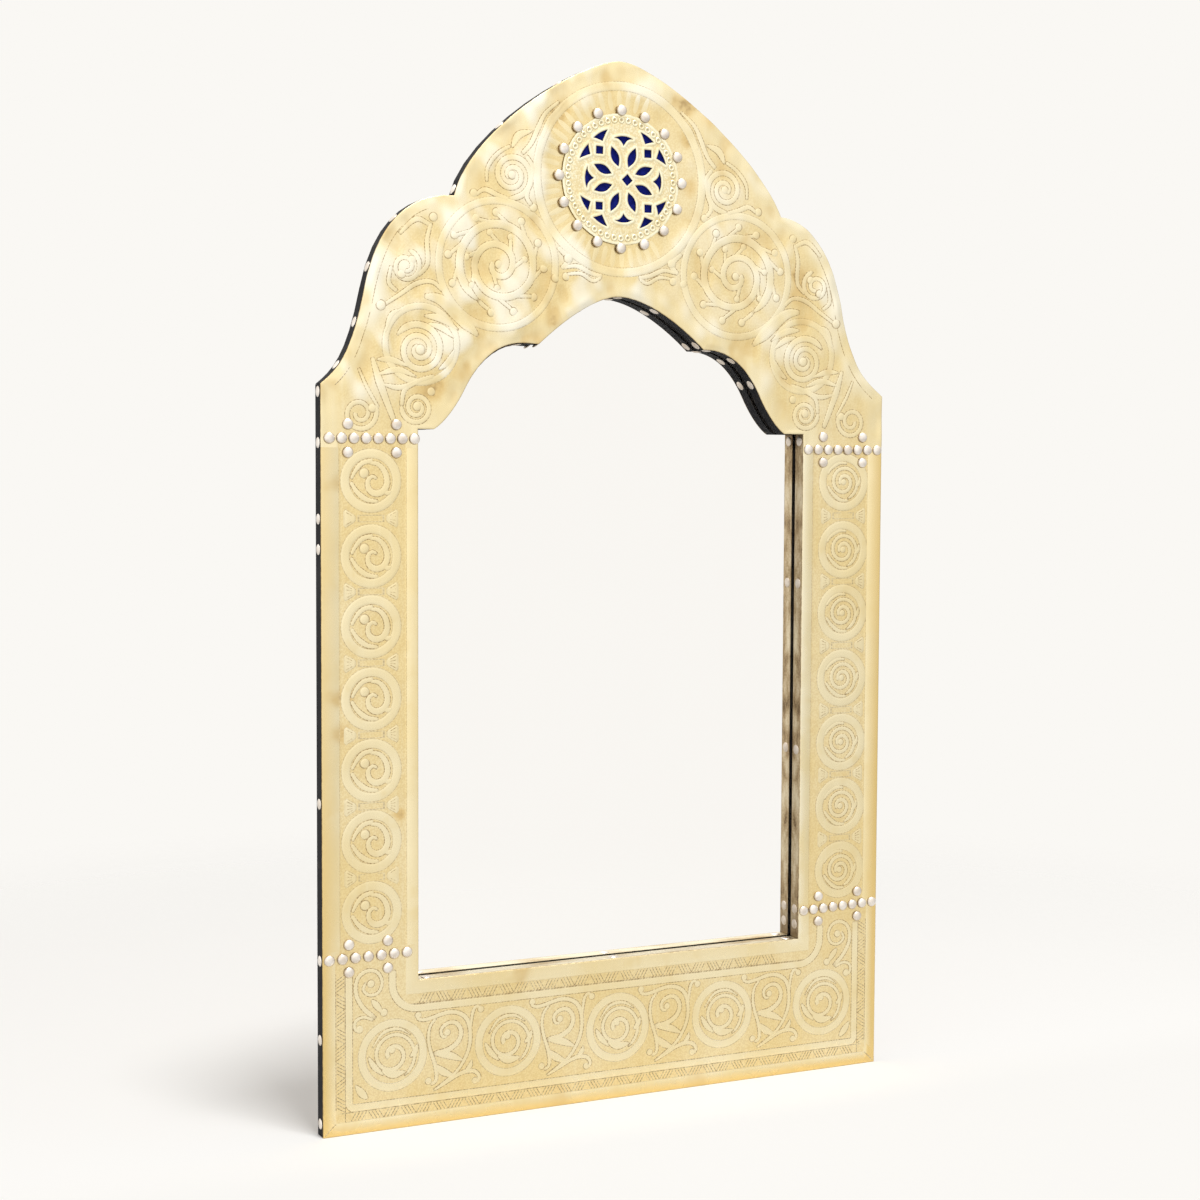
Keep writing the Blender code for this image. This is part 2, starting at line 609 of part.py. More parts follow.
def rosette(crest_board, crest_sheet):
    """Pierced disc over blue felt in a hole of the crest sheet, held by a ring of nails."""
    centre = (0, 0, ROSETTE_Z)
    disc = turned("rosette", rosette_profile(), ROSETTE_SIDES, centre, PALE_BRASS)
    combine(disc, piercing_cutter(CUT_FRONT, 0))
    hole_radius = ROSETTE_RADIUS - ROSETTE_BEARING
    middle = [(0, ROSETTE_Z)]
    combine(crest_sheet, hole_cutter("felt_hole", middle, hole_radius, ROSETTE_SIDES, CUT_FRONT, 0))
    felt_radius = hole_radius - SEAT_GAP
    felt = [(0, SHEET_FRONT), (felt_radius, SHEET_FRONT), (felt_radius, SHEET_BACK), (0, SHEET_BACK)]
    turned("rosette_backing", felt, ROSETTE_SIDES, centre, FELT)
    ring_radius = ROSETTE_RADIUS + NAIL_RING_OUTSIDE
    base = ROSETTE_FRONT - SEAT_GAP
    tip = BOARD_FRONT + NAIL_BITE
    profile = [(0, tip), (NAIL_SHANK_RADIUS, tip), (NAIL_SHANK_RADIUS, base)]
    profile += dome_profile(base, NAIL_RADIUS, NAIL_HEIGHT)
    places = []
    for index in range(ROSETTE_NAILS):
        angle = math.tau * index / ROSETTE_NAILS
        x, z = ring_radius * math.sin(angle), ROSETTE_Z + ring_radius * math.cos(angle)
        places.append((x, z))
        turned(f"rosette_nail_{index + 1:02d}", profile, NAIL_SIDES, (x, 0, z), NICKEL)
    bore = NAIL_SHANK_RADIUS + SEAT_GAP
    pilot = hole_cutter("nail_holes", places, bore, NAIL_SIDES, CUT_FRONT, tip + SEAT_GAP)
    combine(crest_sheet, pilot)
    combine(crest_board, pilot)


def strap_outline():
    """Side view of a hanger strap as (y, z) points: a flat tongue with its end rolled into an eye."""
    inner, outer = [], []
    sweep = EYE_END_ANGLE - EYE_START_ANGLE
    for step in range(EYE_STEPS + 1):
        angle = math.radians(EYE_START_ANGLE + sweep * step / EYE_STEPS)
        direction = Vector((math.sin(angle), math.cos(angle)))
        inner.append(direction * EYE_RADIUS)
        outer.append(direction * (EYE_RADIUS + STRAP_THICKNESS))
    near, far = -EYE_RADIUS, -EYE_RADIUS - STRAP_THICKNESS
    foot = [Vector((near, -STRAP_LENGTH)), Vector((far, -STRAP_LENGTH))]
    return inner[::-1] + foot + outer


def hanger_strap(name, x):
    """Strap extruded across its width round the hinge axis, with two screw holes."""
    bm = bmesh.new()
    corners = [bm.verts.new((-STRAP_WIDTH / 2, y, z)) for y, z in strap_outline()]
    walls = bmesh.ops.extrude_face_region(bm, geom=[bm.faces.new(corners)])
    moved = [item for item in walls["geom"] if isinstance(item, bmesh.types.BMVert)]
    bmesh.ops.translate(bm, verts=moved, vec=(STRAP_WIDTH, 0, 0))
    return place(name, closed_mesh(name, bm), STEEL, (x, EYE_Y, HANGER_Z))


def hanger_ring(name, x):
    """D ring of round wire whose straight bar runs through the eye; its origin is on the hinge axis."""
    reach, corner = RING_HALF_WIDTH, RING_CORNER_RADIUS
    half = [(0, 0)]
    for step in range(RING_CORNER_STEPS + 1):
        angle = math.radians(90 * step / RING_CORNER_STEPS)
        half.append((reach - corner * (1 - math.sin(angle)), -corner * (1 - math.cos(angle))))
    for step in range(RING_BOW_STEPS):
        angle = math.radians(90 * step / RING_BOW_STEPS)
        half.append((reach * math.cos(angle), -RING_ARM - reach * math.sin(angle)))
    points = half + [(0, -RING_ARM - reach)] + [(-px, pz) for px, pz in reversed(half[1:])]
    data = bpy.data.curves.new(name, "CURVE")
    data.dimensions = "3D"
    data.bevel_depth = RING_WIRE_RADIUS
    data.bevel_resolution = RING_WIRE_STEPS
    spline = data.splines.new("POLY")
    spline.points.add(len(points) - 1)
    for point, (px, pz) in zip(spline.points, points):
        point.co = (px, 0, pz, 1)
    spline.use_cyclic_u = True
    return place(name, data, STEEL, (x, EYE_Y, HANGER_Z))


def pan_screw(name, x, z, seat):
    """Screw with a rounded pan head on its seat and a plain shank into the board."""
    tip = BOARD_BACK - STRAP_SCREW_BITE
    side = (STRAP_SCREW_HEAD_RADIUS, seat + STRAP_SCREW_SIDE_HEIGHT)
    top = seat + STRAP_SCREW_HEAD_HEIGHT
    crown = [(STRAP_SCREW_HEAD_RADIUS, seat), side, (STRAP_SCREW_CROWN_RADIUS, top), (0, top)]
    profile = [(0, tip), (STRAP_SCREW_RADIUS, tip), (STRAP_SCREW_RADIUS, seat)] + crown
    turned(name, profile, SCREW_SIDES, (x, 0, z), STEEL)


def hangers(stiles):
    """One strap, ring and pair of screws on the back of each stile."""
    bore = STRAP_SCREW_RADIUS + SEAT_GAP
    for side, name, stile in ((-1, "left", stiles[0]), (1, "right", stiles[1])):
        x = side * HANGER_X
        strap = hanger_strap(name + "_hanger_strap", x)
        hanger_ring(name + "_hanger_ring", x)
        places = [(x, HANGER_Z - drop) for drop in STRAP_SCREW_DROPS]
        tip = BOARD_BACK - STRAP_SCREW_BITE - SEAT_GAP
        holes = hole_cutter(name + "_strap_holes", places, bore, SCREW_SIDES, tip, 0)
        combine(strap, holes)
        combine(stile, holes)
        for index, (px, pz) in enumerate(places):
            pan_screw(f"{name}_hanger_screw_{index + 1}", px, pz, STRAP_BACK + SEAT_GAP)


def countersunk_profile(grow, head_end):
    """Countersunk screw or its hole: a plain shank and a cone that opens towards the back."""
    tip = BOARD_BACK - PANEL_SCREW_BITE - grow
    shank = PANEL_SCREW_RADIUS + grow
    head = PANEL_SCREW_HEAD_RADIUS + grow
    cone_start = -SEAT_GAP - PANEL_SCREW_HEAD_HEIGHT
    cone = [(shank, cone_start), (head, -SEAT_GAP)]
    return [(0, tip), (shank, tip)] + cone + [(head, head_end), (0, head_end)]


def panel_screws(panel, crest_board, stiles, rail):
    """Countersunk screws through the panel: a row into each stile, one into the crest and the rail."""
    x = POCKET_HALF + PANEL_LAP / 2
    low = RAIL_HEIGHT + PANEL_SCREW_END_MARGIN
    step = (LEDGE_Z - PANEL_SCREW_END_MARGIN - low) / (PANEL_SCREWS_PER_SIDE - 1)
    heights = [low + step * index for index in range(PANEL_SCREWS_PER_SIDE)]
    holders = [(stiles[0], [(-x, z) for z in heights]), (stiles[1], [(x, z) for z in heights])]
    holders.append((crest_board, [(0, POCKET_TOP_Z + PANEL_LAP / 2)]))
    holders.append((rail, [(0, POCKET_BOTTOM_Z - PANEL_LAP / 2)]))
    count = 0
    for board, places in holders:
        bm = bmesh.new()
        for px, pz in places:
            count += 1
            add_turned(bm, countersunk_profile(SEAT_GAP, SEAT_GAP), SCREW_SIDES, (px, 0, pz))
            profile = countersunk_profile(0, -SEAT_GAP)[:4] + [(0, -SEAT_GAP)]
            turned(f"panel_screw_{count}", profile, SCREW_SIDES, (px, 0, pz), STEEL)
        holes = guide(board.name + "_panel_holes", bm)
        combine(panel, holes)
        combine(board, holes)


crest_board, left_stile, right_stile, bottom_rail = boards()
back_panel = glazing()
edge_strips()
rosette(crest_board, sheets())
hangers((left_stile, right_stile))
panel_screws(back_panel, crest_board, (left_stile, right_stile), bottom_rail)
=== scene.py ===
"""Looks of a wall mirror: a board frame clad in chased brass sheet, with a pierced rosette in its crest."""
import math

import bpy
import numpy as np
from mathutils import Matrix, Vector
from mathutils.geometry import delaunay_2d_cdt


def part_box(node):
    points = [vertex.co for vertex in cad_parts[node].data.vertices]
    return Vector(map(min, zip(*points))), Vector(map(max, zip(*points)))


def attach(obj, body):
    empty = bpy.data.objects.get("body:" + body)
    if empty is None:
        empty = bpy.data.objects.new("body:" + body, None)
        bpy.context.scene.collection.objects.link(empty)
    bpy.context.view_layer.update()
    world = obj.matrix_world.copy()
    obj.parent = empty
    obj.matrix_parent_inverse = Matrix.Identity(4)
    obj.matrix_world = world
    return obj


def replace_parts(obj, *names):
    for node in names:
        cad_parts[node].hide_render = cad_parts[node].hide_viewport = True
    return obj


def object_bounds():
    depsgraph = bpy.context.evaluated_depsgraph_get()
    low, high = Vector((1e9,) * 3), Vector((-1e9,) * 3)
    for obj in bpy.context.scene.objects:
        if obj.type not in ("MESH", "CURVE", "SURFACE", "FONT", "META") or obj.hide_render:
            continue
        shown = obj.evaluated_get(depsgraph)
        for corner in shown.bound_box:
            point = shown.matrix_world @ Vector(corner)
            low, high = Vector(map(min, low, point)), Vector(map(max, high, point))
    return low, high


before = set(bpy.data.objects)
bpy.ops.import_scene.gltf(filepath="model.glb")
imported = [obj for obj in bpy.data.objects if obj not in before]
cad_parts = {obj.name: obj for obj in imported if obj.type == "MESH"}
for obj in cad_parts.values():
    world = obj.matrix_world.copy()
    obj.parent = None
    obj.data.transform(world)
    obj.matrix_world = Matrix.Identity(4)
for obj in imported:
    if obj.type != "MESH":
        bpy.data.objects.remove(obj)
cad_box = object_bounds()

# Boards
# Four planed softwood boards, half lapped at the corners, that carry everything else.
# They show only behind, where the grain runs up the stiles and along the rail and the crest, and as thin
# edges beside the strips, painted black as painted shade of the gap between the strips and the glass.


class Sock:
    """A shader socket: sums and products with sockets or numbers add Math nodes to its tree."""

    def __init__(self, tree, out=None):
        self.tree = tree
        self.out = out

    def node(self, kind, settings=None, inputs=None, output=0):
        """Add a node: its settings go first, then values or links for its sockets."""
        made = self.tree.nodes.new("ShaderNode" + kind)
        for key, value in (settings or {}).items():
            if key == "stops":
                ramp = made.color_ramp
                while len(ramp.elements) < len(value):
                    ramp.elements.new(0.5)
                for element, (position, colour) in zip(ramp.elements, value):
                    element.position = position
                    element.color = (*colour, 1)
            else:
                setattr(made, key, value)
        for key, value in (inputs or {}).items():
            if isinstance(value, Sock):
                self.tree.links.new(value.out, made.inputs[key])
            else:
                made.inputs[key].default_value = value
        return Sock(self.tree, made.outputs[output])

    def math(self, operation, first, second=0.0):
        return self.node("Math", {"operation": operation}, {0: first, 1: second})

    def __add__(self, other):
        return self.math("ADD", self, other)

    def __sub__(self, other):
        return self.math("SUBTRACT", self, other)

    def __rsub__(self, other):
        return self.math("SUBTRACT", other, self)

    def __mul__(self, other):
        return self.math("MULTIPLY", self, other)

    __radd__ = __add__
    __rmul__ = __mul__

    def noise(self, scale, detail=3.0, stretch=(1, 1, 1)):
        """Soft noise from 0 to 1 on this vector, drawn out along an axis by a smaller stretch."""
        place = self.node("Mapping", None, {"Vector": self, "Scale": stretch})
        return self.node("TexNoise", None, {"Vector": place, "Scale": scale, "Detail": detail})

    def between(self, low, high):
        """0 below the low value, 1 above the high one, with a smooth step from one to the other."""
        settings = {"interpolation_type": "SMOOTHSTEP"}
        return self.node("MapRange", settings, {"Value": self, "From Min": low, "From Max": high})

    def blend(self, first, second):
        """Colour that goes from the first to the second as this value goes from 0 to 1."""
        ends = {0: self, 6: first, 7: second}
        return self.node("Mix", {"data_type": "RGBA"}, ends, 2)

    def axis(self, letter):
        return self.node("SeparateXYZ", None, {0: self}, letter)

    def attribute(self, name):
        """A value that the mesh carries at its points."""
        return self.node("Attribute", {"attribute_name": name}, output="Fac")

    def bump(self, strength, distance):
        return self.node("Bump", None, {"Strength": strength, "Distance": distance, "Height": self})


def finish(name, metallic=0.0, roughness=0.5):
    """A material, its Principled shader, and the coordinates that its pattern reads."""
    made = bpy.data.materials.new(name)
    made.use_nodes = True
    shader = made.node_tree.nodes["Principled BSDF"]
    shader.inputs["Metallic"].default_value = metallic
    shader.inputs["Roughness"].default_value = roughness
    return made, shader, Sock(made.node_tree).node("TexCoord", output="Object")


def feed(shader, links):
    """Link sockets to the shader's inputs by name."""
    for key, value in links.items():
        value.tree.links.new(value.out, shader.inputs[key])


def dress(material, *names):
    """Give CAD nodes one finish."""
    for name in names:
        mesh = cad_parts[name].data
        mesh.materials.clear()
        mesh.materials.append(material)


def softwood(name, along):
    """Pale pine: growth bands and fine fibres along the grain, and painted black shade on its edges and over
    the glass pocket, where it shows in front.
    """
    made, shader, place = finish(name, roughness=0.7)
    across = tuple(0.06 if axis == along else 1.0 for axis in "XYZ")
    bands = place.noise(70.0, 2.0, across)
    fibres = place.noise(900.0, 2.0, across)
    colour = bands.between(0.35, 0.65).blend((0.60, 0.43, 0.25, 1), (0.47, 0.30, 0.15, 1))
    colour = (fibres * 0.35).blend(colour, (0.36, 0.22, 0.10, 1))
    facing = place.node("TexCoord", output="Normal").axis("Y")
    x, z = place.axis("X"), place.axis("Z")
    # Painted shade: the edges, and the backs where they show over the glass pocket, are painted near black as
    # the shadow in the gap beside the glass.
    shade_over_pocket = x.math("ABSOLUTE", x).between(glass_high.x + pocket_gap, glass_high.x)
    shade_over_pocket *= z.between(glass_low.z - pocket_gap, glass_low.z)
    shade_over_pocket *= z.between(glass_high.z + pocket_gap, glass_high.z)
    black = facing.math("ABSOLUTE", facing).between(0.7, 0.3) + shade_over_pocket * facing.between(0.3, 0.7)
    colour = black.blend(colour, (0.020, 0.015, 0.012, 1))
    feed(shader, {"Base Color": colour, "Normal": fibres.bump(0.25, 0.0003)})
    return made


glass_low, glass_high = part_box("mirror_glass")
pocket_gap = 0.0004
dress(softwood("upright softwood", "Z"), "left_stile", "right_stile")
dress(softwood("level softwood", "X"), "crest_board", "bottom_rail")

# Mirror glass and its card
# Silvered glass laid in a pocket of the back panel, over a sheet of grey card that keeps it from rattling.
# The silvering is clean and very slightly warm.
silvering, shader, place = finish("silvered glass", metallic=1.0, roughness=0.0)
haze = place.noise(9.0, 4.0)
feed(shader, {"Base Color": haze.blend((0.985, 0.98, 0.972, 1), (0.995, 0.99, 0.985, 1))})
dress(silvering, "mirror_glass")

card, shader, place = finish("grey card", roughness=0.95)
pulp = place.noise(1400.0, 2.0)
feed(shader, {
    "Base Color": pulp.blend((0.40, 0.36, 0.31, 1), (0.55, 0.51, 0.45, 1)),
    "Normal": pulp.bump(0.2, 0.0002),
})
dress(card, "backing_card")

# Back panel and its screws
# Plywood, 12 mm thick, with a pocket for the glass in its front, which is painted near black as painted shade
# of the gap beside the glass. The face grain runs upright, and eight countersunk screws hold it to the
# boards.
plywood, shader, place = finish("plywood", roughness=0.75)
figure = place.noise(28.0, 3.0, (1, 1, 0.09))
pores = place.noise(1500.0, 1.0, (1, 1, 0.03))
colour = figure.between(0.3, 0.7).blend((0.64, 0.47, 0.29, 1), (0.50, 0.34, 0.18, 1))
colour = pores.between(0.58, 0.7).blend(colour, (0.33, 0.21, 0.10, 1))
facing = place.node("TexCoord", output="Normal").axis("Y")
# Painted shade: the front face is painted near black.
colour = facing.between(-0.3, -0.7).blend(colour, (0.020, 0.015, 0.012, 1))
feed(shader, {"Base Color": colour, "Normal": pores.bump(0.2, 0.0002)})
dress(plywood, "back_panel")

# Ring hangers and screws
# Zinc plated steel: straps with a rolled eye on the stiles' backs, and D rings that swing in the eyes.
zinc, shader, place = finish("zinc plated steel", metallic=1.0)
spangle = place.noise(420.0, 3.0)
dulling = place.noise(60.0, 3.0)
feed(shader, {
    "Base Color": spangle.blend((0.55, 0.55, 0.53, 1), (0.72, 0.72, 0.70, 1)),
    "Roughness": dulling * 0.3 + 0.22,
    "Normal": spangle.bump(0.1, 0.0001),
})
dress(zinc, *(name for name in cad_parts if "hanger" in name or name.startswith("panel_screw")))

# Edge strips
# Thin strips tacked to the boards' edges: blackened metal round the outside and the arch,
# tarnished brass in the straight reveals, rubbed pale where hands reach at the bottom.
blackened, shader, place = finish("blackened strip")
shader.inputs["Specular IOR Level"].default_value = 0.08
rub = place.noise(55.0, 5.0, (1, 1, 0.5))
scratches = place.noise(700.0, 2.0, (0.1, 1, 0.1))
colour = rub.between(0.55, 0.8).blend((0.010, 0.010, 0.012, 1), (0.030, 0.028, 0.030, 1))
colour = (scratches.between(0.66, 0.75) * 0.6).blend(colour, (0.20, 0.17, 0.13, 1))
feed(shader, {
    "Base Color": colour,
    "Roughness": rub * 0.3 + 0.45,
    "Normal": scratches.bump(0.15, 0.0002),
})
dress(blackened, "left_edge_strip", "right_edge_strip", "bottom_edge_strip", "crest_edge_strip",
      "left_shoulder_strip", "right_shoulder_strip", "left_haunch_strip", "right_haunch_strip", "arch_strip")

tarnished, shader, place = finish("tarnished brass strip", metallic=0.9)
blotches = place.noise(75.0, 5.0, (1, 1, 0.45))
specks = place.noise(520.0, 3.0)
stops = [(0.15, (0.14, 0.085, 0.035)), (0.40, (0.35, 0.25, 0.13)),
         (0.65, (0.51, 0.41, 0.26)), (0.9, (0.64, 0.56, 0.40))]
patina = (blotches * 0.75 + specks * 0.25).between(0.26, 0.76)
colour = patina.node("ValToRGB", {"stops": stops}, {"Fac": patina})
strip_low, strip_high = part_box("left_reveal_strip")
height = place.axis("Z")
# Painted shade: the strip goes dark towards its ends, in the corners by the bottom rail and under the arch.
corner_shade = height.between(strip_low.z + 0.04, strip_low.z) * 0.6
corner_shade += height.between(strip_high.z - 0.018, strip_high.z) * 0.7
feed(shader, {
    "Base Color": corner_shade.blend(colour, (0.10, 0.055, 0.020, 1)),
    "Roughness": specks * 0.3 + 0.3,
    "Normal": specks.bump(0.25, 0.0002),
})
dress(tarnished, "left_reveal_strip", "right_reveal_strip")

rubbed, shader, place = finish("rubbed brass strip", metallic=1.0)
wear = place.noise(60.0, 4.0, (0.3, 1, 1))
feed(shader, {
    "Base Color": wear.between(0.35, 0.75).blend((0.86, 0.78, 0.58, 1), (0.50, 0.36, 0.17, 1)),
    "Roughness": wear * 0.3 + 0.25,
})
dress(rubbed, "bottom_reveal_strip")

# Brass sheets
# Four sheets of thin brass, butted at the seams and dressed down over the boards' edges by hand.
# The plain metal is left smooth; the ground between the ornament is matted with a fine punch, so it is
# a little lower and deeper in colour. The sheet is never quite flat, most of all along the crest's edges, and
# the crests of its waves there carry a painted highlight.
bottom_z = cad_box[0].z
stile_low, stile_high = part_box("left_stile_sheet")
half_width = -stile_low.x
opening_half = -stile_high.x
low_seam = stile_low.z - bottom_z
high_seam = stile_high.z - bottom_z
rail_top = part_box("bottom_reveal_strip")[1].z - bottom_z
crest_top = cad_box[1].z - bottom_z
sheet_back = stile_high.y
sheet_thickness = 0.0008
sheet_front = sheet_back - sheet_thickness
matting_depth = 0.00025
rosette_low, rosette_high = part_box("rosette")
rosette_z = (rosette_low.z + rosette_high.z) / 2 - bottom_z

wave_draw = np.random.default_rng(11)
wave_count = 26
wave_turn = wave_draw.uniform(0, math.tau, wave_count)
wave_pitch = math.tau / np.geomspace(0.013, 0.080, wave_count)
wave_shift = wave_draw.uniform(0, math.tau, wave_count)
wave_height = 0.0046 / wave_pitch
crest_swell = 0.0006


def ease(value, low, high):
    """Smooth step from 0 at the low value to 1 at the high one."""
    share = np.clip((value - low) / (high - low), 0, 1)
    return share * share * (3 - 2 * share)


def waves(x, z):
    """Hand-beaten waviness: a sum of shallow sine waves, each with its own direction, pitch and shift."""
    along = x[..., None] * np.cos(wave_turn) + z[..., None] * np.sin(wave_turn)
    return (wave_height * np.sin(wave_pitch * along + wave_shift)).sum(-1)


def on_crest(x, z):
    """1 on the crest, going to 0 at its seams and at the rosette."""
    return ease(z, high_seam + 0.01, high_seam + 0.08) * ease(np.hypot(x, z - rosette_z), 0.064, 0.088)


def ripple(x, z):
    """The waves are strongest on the crest, more so on its left, and the sheet stands off its board there."""
    crest = on_crest(x, z)
    return waves(x, z) * (1 + crest * (3.3 - 1.4 * ease(x, -0.1, 0.1))) - crest * crest_swell


def ground_y(x, z):
    """Depth of the matted ground at points of the frame's plane, with heights from the bottom edge."""
    return sheet_front + matting_depth + ripple(x, z)


def tone(x, z):
    """Ochre patina in the waves' hollows, above 0, and a painted highlight on their crests, below 0, more so
    on the left.
    """
    crest = on_crest(x, z)
    bright = ease(-waves(x, z), -0.0002, 0.0005) * crest * (0.95 - 0.35 * ease(x, -0.1, 0.1))
    return ease(waves(x, z), 0, 0.0002) * (0.12 + 0.30 * crest) - bright


def heading(degrees):
    """Unit direction turned outwards from straight down."""
    angle = math.radians(degrees)
    return np.array([math.sin(angle), -math.cos(angle)])


def bend(start, start_turn, end, end_turn, pulls):
    """Cubic curve: its handles leave along the headings by shares of the chord."""
    start, end = np.array(start), np.array(end)
    chord = np.linalg.norm(end - start)
    leave = start + heading(start_turn) * chord * pulls[0]
    arrive = end - heading(end_turn) * chord * pulls[1]
    t = np.linspace(0, 1, 60)[:, None]
    return (1 - t) ** 3 * start + 3 * t * (1 - t) ** 2 * leave + 3 * t * t * (1 - t) * arrive + t ** 3 * end


def spaced(curve, steps):
    """Points at equal steps along a polyline, read off against its running length."""
    curve = np.asarray(curve, float)
    run = np.append(0, np.cumsum(np.linalg.norm(np.diff(curve, axis=0), axis=1)))
    at = np.linspace(0, run[-1], steps + 1)
    return np.stack([np.interp(at, run, curve[:, 0]), np.interp(at, run, curve[:, 1])], axis=1)


def joined(*stretches):
    """One polyline from stretches that meet end to start."""
    return np.concatenate([stretches[0]] + [stretch[1:] for stretch in stretches[1:]])


def both_sides(right, left=None):
    """Left to right polyline from halves that start on the middle line; one half can serve both sides."""
    left = right if left is None else left
    return np.concatenate([(left * [-1, 1])[:0:-1], right])


def beside(curve):
    """Normals to the left of a polyline, mitred at its corners so that offsets stay parallel."""
    ahead = np.diff(curve, axis=0)
    ahead /= np.linalg.norm(ahead, axis=1)[:, None]
    normal = np.stack([-ahead[:, 1], ahead[:, 0]], axis=1)
    before, after = np.concatenate([normal[:1], normal]), np.concatenate([normal, normal[-1:]])
    return (before + after) / (1 + (before * after).sum(axis=1))[:, None]


def put(name, points, faces, material, slot="chased_brass", **values):
    """One mesh piece from arrays of points and of faces, with a point attribute for each named value."""
    mesh = bpy.data.meshes.new(name)
    mesh.from_pydata(points.tolist(), [], [row for group in faces for row in group.tolist()])
    for key, value in values.items():
        mesh.attributes.new(key, "FLOAT", "POINT").data.foreach_set("value", value.astype(np.float32))
    mesh.shade_smooth()
    mesh.materials.append(material)
    piece = bpy.data.objects.new(name, mesh)
    bpy.context.scene.collection.objects.link(piece)
    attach(piece, "frame")
    return piece


chased, shader, place = finish("chased brass", metallic=1.0)
plain, cut, stain, along, gilt = (
    place.attribute(name) for name in ("plain", "cut", "stain", "along", "gilt"))
punches = place.node("TexVoronoi", {"feature": "F1"}, {"Vector": place, "Scale": 620.0}, "Distance")
clouds = place.noise(11.0, 4.0)
mottle = place.noise(48.0, 5.0)
speckle = place.noise(190.0, 4.0)
streaks = place.noise(260.0, 2.0, (1, 1, 0.06))
dot_pitch = 0.0032
dots = along.math("SINE", along * (math.tau / dot_pitch)) * 0.5 + 0.5
matted = 1 - plain
colour = plain.blend((0.865, 0.70, 0.365, 1), (0.89, 0.765, 0.475, 1))
colour = (clouds.between(0.42, 0.70) * 0.5).blend(colour, (0.86, 0.70, 0.36, 1))
colour = (clouds.between(0.56, 0.34) * 0.35).blend(colour, (0.95, 0.87, 0.63, 1))
colour = (mottle.between(0.52, 0.80) * 0.40).blend(colour, (0.80, 0.62, 0.29, 1))
colour = (streaks.between(0.50, 0.75) * 0.25).blend(colour, (0.93, 0.82, 0.55, 1))
colour = gilt.blend(colour, (0.81, 0.60, 0.25, 1))
colour = (matted * punches.between(0.40, 0.62) * 0.30).blend(colour, (0.66, 0.47, 0.19, 1))
# Painted highlight: below 0 the value paints the brass pale, on the crests of the crest's waves and more so
# on the left; it also makes the brass paler along the glass towards the right.
colour = ((stain * -1.0).between(0.0, 0.55) * 0.85).blend(colour, (0.98, 0.94, 0.79, 1))
worn = (stain * (mottle * 1.3 + speckle * 0.5)).between(0.08, 0.66)
colour = (worn * 0.7).blend(colour, (0.70, 0.50, 0.21, 1))
colour = ((stain * speckle).between(0.28, 0.64) * 0.55).blend(colour, (0.36, 0.225, 0.095, 1))
traced = cut * (dots * 0.45 + speckle.between(0.38, 0.62) * 0.4 + 0.14)
colour = traced.blend(colour, (0.26, 0.155, 0.055, 1))
feed(shader, {
    "Base Color": colour,
    "Roughness": matted * 0.12 + mottle * 0.14 + worn * 0.12 + cut * 0.35 + 0.20,
    "Normal": (punches * matted * 0.7 + mottle * 0.6 + streaks * 0.2).bump(0.28, 0.0004),
})

stile_margins = (0.0113, 0.0165)
felt_hole = 0.0610
crisp = math.radians(60)
rim_offsets = np.array([0, 0.00008, 0.0003, 0.0008, 0.0018])
rim_drops = np.array([0.85, 0.45, 0.15, 0.03, 0]) * sheet_thickness


